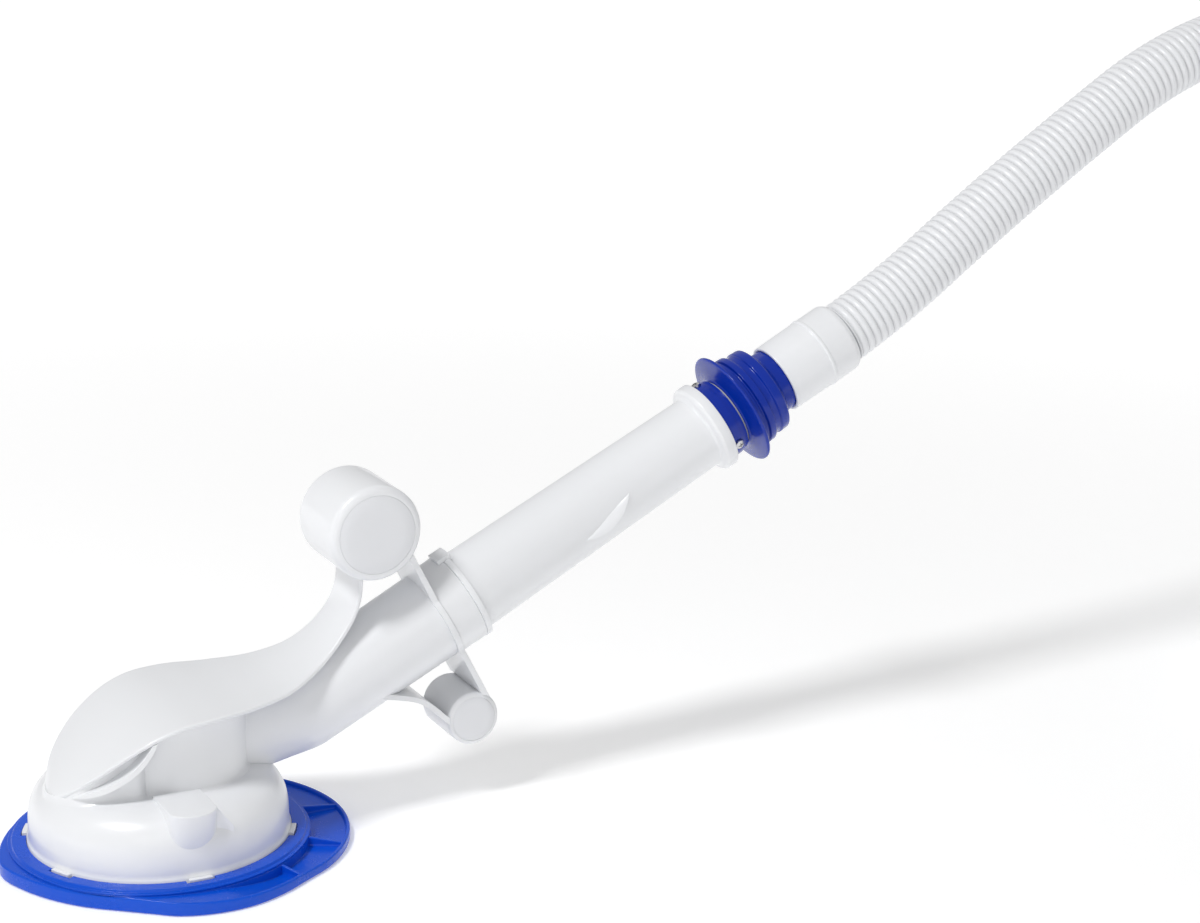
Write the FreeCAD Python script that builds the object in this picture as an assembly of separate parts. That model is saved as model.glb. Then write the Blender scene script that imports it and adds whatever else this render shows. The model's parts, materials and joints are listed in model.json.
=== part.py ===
"""Suction pool cleaner: a round foot and dome, a valve housing under a long shroud,
a two-piece inclined tube with a float above and a weight below, a swivel and a hose.

Frame: X runs from the nose towards the hose, Z is up, Y is across.  XZ is the plane of
symmetry.  The origin is the centre of the suction mouth, in the plane of the floor.
All sizes are in millimetres.
"""
import FreeCAD, Part
import math
import os

V = FreeCAD.Vector

# ---------------------------------------------------------------- driving dimensions
WALL = 2.5

# foot and dome, about the vertical axis through the origin
MOUTH_R = 60.0
SKIRT_FLOOR_T = 4.0
RING_R_IN = 76.6
RING_R_OUT = 85.5
RING_Z_LOW = 8.6
RING_Z_TOP = 11.5
RING_LIP_R = 87.3
RING_LIP_T = 1.4
DOME_TOP_Z = 49.0
DOME_OUTSIDE = [(76.3, 4.1), (76.3, 12.6), (75.2, 14.0), (75.0, 24.0), (74.6, 29.0), (73.6, 33.4),
                (71.9, 37.3), (69.5, 40.8), (66.3, 43.8), (62.2, 46.2), (57.4, 47.8), (52.0, 48.7),
                (46.0, DOME_TOP_Z)]
DOME_INSIDE = [(46.0, DOME_TOP_Z - 3.0), (56.4, 44.8), (64.4, 41.4), (69.0, 36.4), (71.6, 29.0), (72.2, 14.0),
               (72.2, 7.0), (62.0, 7.0), (62.0, 4.1)]
THROAT_R = 22.0

# skirt outline: radius at angles from the +X axis, the same on both sides
SKIRT_RADII = [(0, 112.0), (15, 111.0), (30, 108.6), (43, 105.6), (55, 102.2), (66, 102.6), (80, 103.2),
               (92, 101.2), (103, 97.6), (112, 92.2), (121, 88.9), (138, 88.4), (152, 89.6), (165, 91.8),
               (180, 95.0)]
RIM_T = 2.4
RIM_HIGH_Z = 9.4
RIM_LOW_Z = 5.6
TRAY_LOW_Z = 3.0
RIB_ANGLES = (0, 30, 57, -30, -57)
RIB_T = 2.0

# clips that hold the foot to the dome
CLIP_ANGLES = (28, 92, 154, -28, -92, -154)
CLIP_HALF_ANGLE = 5.0

# head
DRUM_X = 8.6
DRUM_R = 44.0
HOUSING_FLOOR_Z = DOME_TOP_Z
SHROUD_T = 2.6
SHROUD_LINE = [(-66.2, 38.0), (-64.6, 44.0), (-60.9, 50.5), (-55.2, 57.6), (-41.4, 70.6), (-27.6, 80.4),
               (-13.8, 87.6), (0.0, 91.8), (18.4, 93.6), (46.0, 94.2), (73.6, 97.6), (91.1, 104.6),
               (107.2, 117.4), (117.0, 130.6), (120.8, 142.0), (121.6, 156.0)]
SHROUD_HALF_WIDTH = [(-64.8, 8.6), (-60.9, 18.6), (-55.2, 27.6), (-41.4, 39.6), (-27.6, 45.6),
                     (-13.8, 48.9), (2.0, 50.4), (20.0, 49.8), (46.0, 43.8), (73.6, 34.2), (91.1, 26.2),
                     (107.6, 20.6), (126.0, 17.6)]
SHROUD_NOSE_X = -66.4
HOUSING_HALF_WIDTH = [(-64.0, 8.0), (-60.0, 17.6), (-54.0, 26.2), (-46.0, 31.4), (-34.0, 35.0), (-22.0, 37.6)]
HOUSING_NOSE_X = -65.6

# side scoops: crescents in side view, (x, z)
SCOOP_OUTER = [(-61.6, 49.6), (-46.0, 54.4), (-33.6, 61.4), (-22.6, 71.0), (-16.4, 80.6), (-13.2, 88.0)]
SCOOP_INNER = [(-15.6, 85.6), (-22.4, 75.8), (-34.2, 64.8), (-49.2, 56.2)]
SCOOP_DEPTH = 9.0

# rounded lugs on the dome's flanks
LUG_X = -3.2
LUG_HALF = 13.8
LUG_Y_IN = 42.0
LUG_Z_LOW = 22.0
LUG_Z_TOP = 51.0
# how far its sides run straight and its round front reaches, below and above
LUG_LOW_Y = (60.0, 74.2)
LUG_TOP_Y = (66.0, 80.8)
LUG_RAMP_RUN = 9.5
LUG_RAMP_Z = (50.0, 36.0)
LUG_RAMP_Y = 68.0

# tubes: the axis rises from the point (0, 0, AXIS_Z0) in the XZ plane
AXIS_Z0 = 28.31
AXIS_DEG = 26.37
BODY_TUBE = [(98.0, 26.7), (108.0, 26.9), (192.0, 27.6)]
BODY_BORE = [(98.0, 24.2), (108.0, 24.3), (189.5, 24.6)]
# neck sections: centre x and z, tilt of the plane, half height and half width
NECK = [(42.0, 64.0, 0.0, 27.0, 20.5), (55.0, 64.8, 8.0, 26.4, 21.6), (71.0, 67.6, 18.0, 26.0, 23.9),
        (87.8, 71.8, AXIS_DEG, 26.7, 26.7)]
STRAP_S0 = 194.0
STRAP_S1 = 197.6
SOCKET_R = 28.4
SOCKET_END = 215.6
SOCKET_SEAT_S = STRAP_S1 - 8.0
SOCKET_CLEAR = 0.02
FLANGE_R = 29.0
UPPER_FLANGE_END = 219.4
UPPER_START = 192.0
UPPER_LOW_R = 25.7
UPPER_HIGH_R = 23.2
UPPER_END = 398.4
END_FLANGE_R = 28.8
END_FLANGE_S = 406.2
INNER_TUBE_R = 19.0
INNER_TUBE_WALL = 1.8
INNER_TUBE_S = (88.0, 383.0)

# float above the tube and weight below it, both lying across
FLOAT_X, FLOAT_Z, FLOAT_R, FLOAT_HALF = 130.1, 179.3, 28.7, 26.7
FLOAT_EDGE = 5.0
WEIGHT_X, WEIGHT_Z, WEIGHT_R, WEIGHT_HALF = 192.6, 52.0, 16.5, 20.0
WEIGHT_EDGE = 2.6
STRAP_HALF = 23.5
CRADLE_LOW = [(131.0, 76.0), (142.3, 73.1), (157.7, 67.9), (170.7, 56.6), (179.1, 48.0), (184.0, 40.0)]
CRADLE_HIGH = [(133.0, 79.0), (143.5, 76.2), (159.6, 70.6), (173.0, 59.0), (181.5, 50.2), (186.5, 42.0)]
STRAP_T = STRAP_S1 - STRAP_S0

# swivel, stations along the tube axis
COLLAR_R = 25.8
COLLAR_STEP_S = 413.0
COLLAR_STEP_R = 24.4
COLLAR_END = 417.5
COLLAR_BORE_R = 18.05
COLLAR_INSERT_S = 390.0
COLLAR_INSERT_R = 20.4
JOURNAL_R = 18.0
FLOW_R = 15.5
JOURNAL_S0 = 385.6
HUB_S0 = 419.0
DISC_S = 422.7
DISC_T = 2.0
DISC_R = 36.8
SPIGOT_R = 20.0
SPIGOT_S = 451.0
SPIGOT_END = 484.0
SCREW_S = 409.6
SCREW_ANGLES = (0, 120, 240)
SCREW_TILT = 23.0

# hose and its cuffs
CUFF_MOUTH_S = 457.7
CUFF_SEAM_S = 487.0
CUFF_END_S = 509.0
CUFF_R = 22.4
CUFF_COLLAR_R = CUFF_R + 1.1
CUFF_GRIP = 12.0
CUFF_BORE_R = 20.05
HOSE_R = 20.0
HOSE_BORE_R = 16.5

# hose route after the cuff, until it joins the coil
HOSE_ROUTE = [(456.8, 0.0, 254.65), (492.0, 0.0, 273.3), (556.0, 0.0, 319.0), (624.0, 0.0, 363.2),
              (700.0, 0.0, 409.5), (793.0, 12.0, 426.0), (884.0, 34.0, 407.0), (960.0, 62.0, 357.0),
              (1015.0, 92.0, 284.0), (1061.0, 99.0, 201.0), (1104.0, 72.0, 120.0), (1139.0, 11.0, 56.0),
              (1158.0, -75.0, 20.2), (1158.0, -170.0, 20.2)]

# coil of put-away hose, lying on the floor: two turns side by side on two more
COIL_X, COIL_Y = 938.0, -170.0
COIL_MID_R = 200.0
COIL_EDGE = 8.0
LANDING_DEG = 50.0
END_CUFF_DEG = -50.0
END_CUFF_LEAD = 20.0
END_CUFF_ROOM = 160.0

# swinging valve in the housing
PIVOT_X, PIVOT_Z = 12.0, 80.0
PIN_R = 3.0
PIN_CLEAR = 0.05
FLAPPER_HALF = 18.0
FLAPPER_LOW_Z = 57.5
FRAME_Y = 24.0
FRAME_T = 3.0
FRAME_HALF = 20.0
FRAME_HIGH = 38.0
BRIDGE_T = 3.0
BRIDGE_HIGH = 6.0
BUSH_R = PIN_R + 1.5
BUSH_FLANGE_R = PIN_R + 3.5
BUSH_FLANGE_T = 1.2

AXIS_COS = math.cos(math.radians(AXIS_DEG))
AXIS_SIN = math.sin(math.radians(AXIS_DEG))


# ---------------------------------------------------------------- helpers
def polygon(points):
    """Closed face through 3-D points."""
    return Part.Face(Part.makePolygon(list(points) + [points[0]]))


def turned(profile):
    """Solid of revolution about Z from a closed (radius, z) outline."""
    face = polygon([V(r, 0, z) for r, z in profile])
    return face.revolve(V(0, 0, 0), V(0, 0, 1), 360)


def ring(r_out, r_in, z0, z1):
    """Plain ring about Z; a disc if r_in is zero."""
    outer = Part.makeCylinder(r_out, z1 - z0, V(0, 0, z0))
    if r_in <= 0:
        return outer
    return outer.cut(Part.makeCylinder(r_in, z1 - z0 + 2, V(0, 0, z0 - 1)))


def spline_edge(points, closed=False):
    """Smooth edge through 3-D points."""
    curve = Part.BSplineCurve()
    curve.interpolate(Points=points, PeriodicFlag=closed)
    return curve.toShape()


def along_tube(shape):
    """Move a shape built about Z so that Z becomes the tube axis and X its lower side."""
    placed = shape.copy()
    placed.rotate(V(0, 0, 0), V(0, 1, 0), 90 - AXIS_DEG)
    placed.translate(V(0, 0, AXIS_Z0))
    return placed


def tube_local(x, z):
    """Station along the tube axis and depth below it of a point in the XZ plane."""
    rise = z - AXIS_Z0
    return x * AXIS_COS + rise * AXIS_SIN, x * AXIS_SIN - rise * AXIS_COS


def mirrored(shape):
    """The same shape on the other side of the XZ plane."""
    return shape.mirror(V(0, 0, 0), V(0, 1, 0))


def crosswise(shape):
    """Move a shape built about Z so that Z becomes -Y."""
    turned_shape = shape.copy()
    turned_shape.rotate(V(0, 0, 0), V(1, 0, 0), 90)
    return turned_shape


def plan_outline(half_width, nose_x):
    """Closed wire in the XY plane: a smooth nose and flanks, and a straight tail."""
    tail_x = half_width[-1][0]
    tail_y = half_width[-1][1]
    right = [V(x, y, 0) for x, y in reversed(half_width)]
    left = [V(x, -y, 0) for x, y in half_width]
    flank = spline_edge(right + [V(nose_x, 0, 0)] + left)
    tail = Part.makeLine(V(tail_x, -tail_y, 0), V(tail_x, tail_y, 0))
    return Part.Wire([flank, tail])


def prism(wire, z0, z1):
    """Upright prism of an XY wire."""
    face = Part.Face(wire)
    face.translate(V(0, 0, z0))
    return face.extrude(V(0, 0, z1 - z0))


def side_prism(points, half):
    """Prism across Y of a polygon of (x, z) points, centred on the XZ plane."""
    return polygon([V(x, -half, z) for x, z in points]).extrude(V(0, 2 * half, 0))


# ---------------------------------------------------------------- foot and dome
def skirt_wire(inset=0.0):
    """The skirt's outline in plan, pulled in by the inset."""
    half = [(math.radians(a), r - inset) for a, r in SKIRT_RADII]
    whole = half + [(-a, r) for a, r in reversed(half[1:-1])]
    return Part.Wire([spline_edge([V(r * math.cos(a), r * math.sin(a), 0) for a, r in whole], True)])


def skirt_disc():
    """Flexible disc: high rim round the nose, falling to a ribbed tray under the tube."""
    reach = 130.0
    slab = prism(skirt_wire(), 0, RING_Z_LOW)
    rim_top = side_prism([(-reach, RIM_HIGH_Z), (-40, RING_Z_LOW), (62, RIM_LOW_Z), (reach, RIM_LOW_Z),
                          (reach, 30), (-reach, 30)], reach)
    disc = slab.cut(rim_top)
    tray = prism(skirt_wire(RIM_T), 0, 20)
    tray = tray.cut(Part.makeCylinder(RING_LIP_R, 30, V(0, 0, -1)))
    tray = tray.common(side_prism([(-8, 9.0), (46, TRAY_LOW_Z), (reach, TRAY_LOW_Z), (reach, 20), (-8, 20)],
                                  reach))
    disc = disc.cut(tray)
    hub = ring(RING_LIP_R, RING_R_IN, TRAY_LOW_Z, RING_Z_LOW)
    disc = disc.fuse(hub)
    for angle in RIB_ANGLES:
        disc = disc.fuse(tray_rib(angle))
    disc = disc.cut(Part.makeCylinder(RING_R_IN, 30, V(0, 0, SKIRT_FLOOR_T)))
    disc = disc.cut(Part.makeCylinder(MOUTH_R, 30, V(0, 0, -1)))
    return disc.removeSplitter()


def tray_rib(angle):
    """Upright radial rib of the tray, sloping down from the ring to the rim."""
    edge = dict((abs(a), r) for a, r in SKIRT_RADII)
    nearest = min(edge, key=lambda a: abs(a - abs(angle)))
    r_out = edge[nearest] - 1.2
    r_in = RING_LIP_R - 1.0
    rib = polygon([V(r_in, -RIB_T / 2, 2), V(r_out, -RIB_T / 2, 2), V(r_out, -RIB_T / 2, RIM_LOW_Z - 0.6),
                   V(r_in, -RIB_T / 2, RING_Z_LOW)])
    rib = rib.extrude(V(0, RIB_T, 0))
    rib.rotate(V(0, 0, 0), V(0, 0, 1), angle)
    return rib


def clip_sector(r_in, r_out, z0, z1, angle, half_angle):
    """Sector of a ring, centred on an angle."""
    face = polygon([V(r_in, 0, z0), V(r_out, 0, z0), V(r_out, 0, z1), V(r_in, 0, z1)])
    sector = face.revolve(V(0, 0, 0), V(0, 0, 1), 2 * half_angle)
    sector.rotate(V(0, 0, 0), V(0, 0, 1), angle - half_angle)
    return sector


def retaining_ring():
    """Raised ring round the dome, with a low outer step and a slot for each clip."""
    body = turned([(RING_R_IN, RING_Z_LOW), (RING_LIP_R, RING_Z_LOW), (RING_LIP_R, RING_Z_LOW + RING_LIP_T),
                   (RING_R_OUT, RING_Z_LOW + RING_LIP_T), (RING_R_OUT - 0.8, RING_Z_TOP),
                   (RING_R_IN, RING_Z_TOP)])
    for angle in CLIP_ANGLES:
        body = body.cut(clip_sector(RING_R_IN - 2, RING_R_IN + 3.2, 0, 20, angle, CLIP_HALF_ANGLE + 1.2))
    return body


def dome_solid(grow=0.0):
    """The dome with its inside filled."""
    return turned([(0, 4.1)] + [(r + grow, z) for r, z in DOME_OUTSIDE] + [(0, DOME_TOP_Z)])


def dome_shell():
    """Bowl over the suction mouth, with a flange inside the foot and a throat at the top."""
    outside = DOME_OUTSIDE + [(THROAT_R, DOME_TOP_Z)]
    return turned(outside + [(THROAT_R, DOME_TOP_Z - 3.0)] + DOME_INSIDE)


def dome_clips():
    """Hooks of the dome that stand up through the ring's slots."""
    hooks = []
    for angle in CLIP_ANGLES:
        hooks.append(clip_sector(RING_R_IN - 0.3, RING_R_IN + 2.6, RING_Z_LOW, RING_Z_TOP + 1.0, angle,
                                 CLIP_HALF_ANGLE))
    return Part.makeCompound(hooks)


def lug_plan(straight_y, out_y, z):
    """Plan of the lug at a height: straight sides and a round front."""
    left = LUG_X - LUG_HALF
    right = LUG_X + LUG_HALF
    corners = [V(right, -straight_y, z), V(right, -LUG_Y_IN, z), V(left, -LUG_Y_IN, z),
               V(left, -straight_y, z)]
    front = Part.Arc(corners[3], V(LUG_X, -out_y, z), corners[0]).toShape()
    lines = [Part.makeLine(corners[i], corners[i + 1]) for i in range(3)]
    return Part.Wire(lines + [front])


def side_lug():
    """Round-fronted lug on one flank of the dome, with a ramp behind it, trimmed to the dome."""
    lug = Part.makeLoft([lug_plan(*LUG_LOW_Y, LUG_Z_LOW), lug_plan(*LUG_TOP_Y, LUG_Z_TOP)], True, True)
    side = LUG_X + LUG_HALF
    ramp = side_prism([(side - 1.0, LUG_Z_LOW), (side + LUG_RAMP_RUN, LUG_Z_LOW),
                       (side + LUG_RAMP_RUN, LUG_RAMP_Z[1]), (side, LUG_RAMP_Z[0]),
                       (side - 1.0, LUG_RAMP_Z[0])], LUG_RAMP_Y)
    ramp = ramp.common(Part.makeBox(200, LUG_RAMP_Y - LUG_Y_IN, 200, V(-100, -LUG_RAMP_Y, -100)))
    lug = lug.fuse(ramp).removeSplitter()
    lug = lug.cut(dome_solid())
    return lug.cut(prism(housing_wire(), 0, LUG_Z_TOP + 10))


def side_lugs():
    """Both lugs."""
    lug = side_lug()
    return Part.makeCompound([lug, mirrored(lug)])


def throat_nozzle():
    """Rubber funnel pressed into the dome's throat, leading up to the valve."""
    return turned([(THROAT_R - 3.0, 40.0), (THROAT_R - 0.02, 40.0), (THROAT_R - 0.02, DOME_TOP_Z + 3.0),
                   (THROAT_R - 3.0, DOME_TOP_Z + 3.0)])


# ---------------------------------------------------------------- head
def housing_wire(inset=0.0):
    """Plan of the housing: narrow nose walls running into a round drum."""
    nose = [V(x + inset * 0.8, -(y - inset), 0) for x, y in HOUSING_HALF_WIDTH]
    r = DRUM_R - inset
    join_deg = 128.0
    join = V(DRUM_X + r * math.cos(math.radians(join_deg)), -r * math.sin(math.radians(join_deg)), 0)
    flank = nose + [join]
    other = [V(p.x, -p.y, 0) for p in flank]
    points = list(reversed(other)) + [V(HOUSING_NOSE_X + inset, 0, 0)] + flank
    nose_edge = spline_edge(points)
    far = V(DRUM_X + r, 0, 0)
    drum_edge = Part.Arc(join, far, other[-1]).toShape()
    return Part.Wire([nose_edge, drum_edge])


def shroud_strip(thickness):
    """The shroud's lengthwise section as a closed wire in the XZ plane."""
    top = [V(x, 0, z) for x, z in SHROUD_LINE]
    edge = spline_edge(top)
    curve = edge.Curve
    lower = []
    first, last = edge.ParameterRange
    steps = 40
    for i in range(steps + 1):
        t = first + (last - first) * i / steps
        point = curve.value(t)
        tangent = curve.tangent(t)[0]
        normal = V(tangent.z, 0, -tangent.x)
        lower.append(point + normal * thickness)
    bottom = spline_edge(list(reversed(lower)))
    close_a = Part.makeLine(top[-1], lower[-1])
    close_b = Part.makeLine(lower[0], top[0])
    return Part.Wire([edge, close_a, bottom, close_b])


def under_shroud():
    """All the space below the shroud's lower face, as a tool for trimming."""
    reach = 140.0
    top = [V(x, -reach, z) for x, z in SHROUD_LINE]
    edge = spline_edge(top)
    curve = edge.Curve
    first, last = edge.ParameterRange
    steps = 30
    lower = []
    for i in range(steps + 1):
        t = first + (last - first) * i / steps
        tangent = curve.tangent(t)[0]
        normal = V(tangent.z, 0, -tangent.x)
        lower.append(curve.value(t) + normal * SHROUD_T)
    low_edge = spline_edge(lower)
    a = lower[0]
    b = lower[-1]
    corners = [b, V(b.x, -reach, 0), V(a.x, -reach, 0), a]
    lines = [Part.makeLine(corners[i], corners[i + 1]) for i in range(3)]
    return Part.Face(Part.Wire([low_edge] + lines)).extrude(V(0, 2 * reach, 0))


def head_housing():
    """Valve housing: nose walls and drum on the dome, open inside, open to the tube behind."""
    outer = prism(housing_wire(), HOUSING_FLOOR_Z - 16, 110)
    inner = prism(housing_wire(3.0), HOUSING_FLOOR_Z - 20, 110)
    walls = outer.cut(inner).common(under_shroud())
    walls = walls.cut(dome_solid())
    flow = along_tube(ring(INNER_TUBE_R + 0.6, 0, 20, 90))
    return walls.cut(flow)


def shroud():
    """Long saddle-shaped cover from the nose over the head and up to the float."""
    strip = Part.Face(shroud_strip(SHROUD_T)).extrude(V(0, 60, 0))
    strip = strip.fuse(mirrored(strip)).removeSplitter()
    cover = strip.common(prism(plan_outline(SHROUD_HALF_WIDTH, SHROUD_NOSE_X), 0, 200))
    cover = cover.cut(crosswise(Part.makeCylinder(FLOAT_R, 120, V(FLOAT_X, FLOAT_Z, -60))))
    return cover.cut(dome_solid())


def side_scoop():
    """Crescent lip below the shroud's edge, standing off the housing wall."""
    outer = spline_edge([V(x, -70, z) for x, z in SCOOP_OUTER])
    inner = spline_edge([V(x, -70, z) for x, z in [SCOOP_OUTER[-1]] + SCOOP_INNER + [SCOOP_OUTER[0]]])
    lens = Part.Face(Part.Wire([outer, inner])).extrude(V(0, 60, 0))
    band = prism(plan_outline(SHROUD_HALF_WIDTH, SHROUD_NOSE_X), 0, 200)
    inset = [(x + SCOOP_DEPTH * 0.4, y - SCOOP_DEPTH) for x, y in SHROUD_HALF_WIDTH[1:-3]]
    band = band.cut(prism(plan_outline(inset, SHROUD_NOSE_X + SCOOP_DEPTH), -1, 210))
    lip = lens.common(band).common(under_shroud())
    return lip.cut(prism(housing_wire(), 0, 200))


# ---------------------------------------------------------------- valve
def valve_frame():
    """Two cheeks and a bridge that carry the valve's pin."""
    low = HOUSING_FLOOR_Z + 3.1
    cheek = Part.makeBox(2 * FRAME_HALF, FRAME_T, FRAME_HIGH,
                         V(PIVOT_X - FRAME_HALF, FRAME_Y, HOUSING_FLOOR_Z))
    cheek = cheek.cut(Part.makeCylinder(BUSH_R, 20, V(PIVOT_X, FRAME_Y - 5, PIVOT_Z), V(0, 1, 0)))
    frame = cheek.fuse(mirrored(cheek))
    for x in (PIVOT_X - FRAME_HALF, PIVOT_X + FRAME_HALF - BRIDGE_T):
        frame = frame.fuse(Part.makeBox(BRIDGE_T, 2 * FRAME_Y, BRIDGE_HIGH, V(x, -FRAME_Y, low)))
    return frame.removeSplitter()


def valve_pin():
    """Pin that the flapper swings on."""
    length = 2 * (FRAME_Y + FRAME_T)
    return Part.makeCylinder(PIN_R, length, V(PIVOT_X, -length / 2, PIVOT_Z), V(0, 1, 0))


def valve_bushes():
    """Flanged bushes, one in each cheek."""
    sleeve = Part.makeCylinder(BUSH_R, FRAME_T, V(PIVOT_X, FRAME_Y, PIVOT_Z), V(0, 1, 0))
    flange = Part.makeCylinder(BUSH_FLANGE_R, BUSH_FLANGE_T, V(PIVOT_X, FRAME_Y - BUSH_FLANGE_T, PIVOT_Z),
                               V(0, 1, 0))
    bore = Part.makeCylinder(PIN_R, 20, V(PIVOT_X, FRAME_Y - 8, PIVOT_Z), V(0, 1, 0))
    bush = sleeve.fuse(flange).cut(bore)
    return Part.makeCompound([bush, mirrored(bush)])


def flapper():
    """Wedge-shaped hammer that hangs from the pin and beats from side to side."""
    blade = side_prism([(PIVOT_X - 4.5, PIVOT_Z + 1), (PIVOT_X + 4.5, PIVOT_Z + 1),
                        (PIVOT_X + 8.0, FLAPPER_LOW_Z + 3), (PIVOT_X + 5.0, FLAPPER_LOW_Z),
                        (PIVOT_X - 5.0, FLAPPER_LOW_Z), (PIVOT_X - 8.0, FLAPPER_LOW_Z + 3)], FLAPPER_HALF)
    boss = Part.makeCylinder(PIN_R + 3.2, 2 * FLAPPER_HALF, V(PIVOT_X, -FLAPPER_HALF, PIVOT_Z), V(0, 1, 0))
    bore = Part.makeCylinder(PIN_R + PIN_CLEAR, 60, V(PIVOT_X, -30, PIVOT_Z), V(0, 1, 0))
    return blade.fuse(boss).cut(bore).removeSplitter()


# ---------------------------------------------------------------- tubes
def head_solid():
    """Everything of the head that the body tube is trimmed against."""
    return dome_solid(0.02).fuse(prism(housing_wire(), HOUSING_FLOOR_Z - 16, 110))


def neck_section(x, z, tilt, half_height, half_width):
    """Closed ellipse across the neck, in a plane tilted back from upright."""
    points = []
    for i in range(24):
        a = 2 * math.pi * i / 24
        lift = half_height * math.cos(a)
        lean = math.radians(tilt)
        points.append(V(x - lift * math.sin(lean), half_width * math.sin(a), z + lift * math.cos(lean)))
    return Part.Wire([spline_edge(points, True)])


def neck_duct():
    """Smooth duct that widens from the housing into the round tube."""
    outer = Part.makeLoft([neck_section(*section) for section in NECK], True, False)
    bores = [(x, z, tilt, high - WALL, wide - WALL) for x, z, tilt, high, wide in NECK]
    inner = Part.makeLoft([neck_section(*section) for section in bores], True, False)
    duct = outer.cut(inner).common(under_shroud())
    return duct.cut(head_solid())


def body_tube():
    """Lower tube with its socket for the upper tube."""
    outside = BODY_TUBE + [(STRAP_S1, BODY_TUBE[-1][1]), (STRAP_S1, SOCKET_R), (SOCKET_END, SOCKET_R + 0.3)]
    seat_r = UPPER_LOW_R + SOCKET_CLEAR
    bore = [(SOCKET_END, seat_r), (SOCKET_SEAT_S, seat_r), (SOCKET_SEAT_S, BODY_BORE[-1][1])]
    shape = turned([(r, s) for s, r in outside + bore + BODY_BORE[::-1]])
    return along_tube(shape).cut(shroud())


def upper_tube():
    """Outer extension tube: locking flange below, wide flange above."""
    foot = [(UPPER_LOW_R, UPPER_START), (UPPER_LOW_R, SOCKET_END), (FLANGE_R, SOCKET_END),
            (FLANGE_R, UPPER_FLANGE_END), (UPPER_LOW_R, UPPER_FLANGE_END)]
    head = [(UPPER_HIGH_R, UPPER_END - 2.0), (UPPER_HIGH_R + 1.2, UPPER_END - 0.8),
            (END_FLANGE_R - 1.5, UPPER_END), (END_FLANGE_R, UPPER_END + 1.5), (END_FLANGE_R, END_FLANGE_S)]
    bore = [(UPPER_HIGH_R - WALL, END_FLANGE_S), (UPPER_LOW_R - WALL, UPPER_FLANGE_END),
            (UPPER_LOW_R - WALL, UPPER_START)]
    return along_tube(turned(foot + head + bore))


def locking_lug():
    """Snap lug on top of the tube joint."""
    block = Part.makeBox(6.0, 13.0, 9.0, V(-FLANGE_R - 4.0, -6.5, SOCKET_END - 4.0))
    block = block.cut(ring(SOCKET_R + 0.35, 0, SOCKET_END - 10, SOCKET_END))
    block = block.cut(ring(FLANGE_R + 0.02, 0, SOCKET_END, UPPER_FLANGE_END))
    block = block.cut(ring(UPPER_LOW_R + 0.8, 0, UPPER_FLANGE_END, UPPER_FLANGE_END + 8))
    cap = ring(FLANGE_R + 2.6, 0, SOCKET_END - 10, SOCKET_END + 10)
    return along_tube(block.common(cap))


def tube_fin():
    """Crescent fin on one flank of the upper tube."""
    outer = [V(295.0, 0, -5.0), V(305.0, 0, -6.4), V(317.5, 0, -3.2), V(333.0, 0, 5.4)]
    inner = [V(333.0, 0, 5.4), V(316.0, 0, 1.8), V(305.0, 0, -1.8), V(295.0, 0, -5.0)]
    wire = Part.Wire([spline_edge(outer), spline_edge(inner)])
    face = Part.Face(wire)
    face.rotate(V(0, 0, 0), V(0, 1, 0), -90)
    face.translate(V(0, -28.2, 0))
    fin = face.extrude(V(0, 8, 0))
    tube = turned([(0, UPPER_START), (UPPER_LOW_R, UPPER_START), (UPPER_LOW_R, UPPER_FLANGE_END),
                   (UPPER_HIGH_R, UPPER_END - 2.0), (0, UPPER_END - 2.0)])
    return along_tube(fin.cut(tube))


def tube_fins():
    """Both fins."""
    fin = tube_fin()
    return Part.makeCompound([fin, mirrored(fin)])


def inner_tube():
    """Liner that carries one of the two water passages."""
    s0, s1 = INNER_TUBE_S
    return along_tube(ring(INNER_TUBE_R, INNER_TUBE_R - INNER_TUBE_WALL, s0, s1))


def socket_seal():
    """Rubber ring between the two tubes, seated behind the upper tube's end."""
    return along_tube(ring(UPPER_LOW_R - 0.1, INNER_TUBE_R + 3.0, SOCKET_SEAT_S + 0.1, UPPER_START - 0.1))


# ---------------------------------------------------------------- straps, float and weight
def strap_plate():
    """Cross plate that joins float, tube and weight, with a band round the tube."""
    up = tube_local(FLOAT_X, FLOAT_Z)[1]
    down = tube_local(WEIGHT_X, WEIGHT_Z)[1]
    plate = Part.makeBox(down - up, 2 * STRAP_HALF, STRAP_T, V(up, -STRAP_HALF, STRAP_S0))
    band = ring(FLANGE_R + 0.6, 0, STRAP_S0, STRAP_S1)
    plate = plate.fuse(band).cut(ring(BODY_TUBE[-1][1], 0, STRAP_S0 - 5, STRAP_S1 + 5))
    placed = along_tube(plate)
    placed = placed.cut(crosswise(Part.makeCylinder(FLOAT_R, 120, V(FLOAT_X, FLOAT_Z, -60))))
    return placed.cut(crosswise(Part.makeCylinder(WEIGHT_R, 120, V(WEIGHT_X, WEIGHT_Z, -60))))


def weight_cradle():
    """Curved arm from the tube's underside that hugs the weight."""
    half = STRAP_HALF - 2.0
    low = [V(x, -half, z) for x, z in CRADLE_LOW]
    high = [V(x, -half, z) for x, z in CRADLE_HIGH]
    tip = Part.makeLine(low[-1], high[-1])
    root = Part.makeLine(low[0], high[0])
    edges = [spline_edge(low), tip, spline_edge(high), root]
    arm = Part.Face(Part.Wire(edges)).extrude(V(0, 2 * half, 0))
    tube = along_tube(turned([(0, BODY_TUBE[0][0])] + [(r, station) for station, r in BODY_TUBE]
                             + [(BODY_TUBE[-1][1], STRAP_S1), (0, STRAP_S1)]))
    return arm.cut(tube).cut(crosswise(Part.makeCylinder(WEIGHT_R, 120, V(WEIGHT_X, WEIGHT_Z, -60))))


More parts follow.
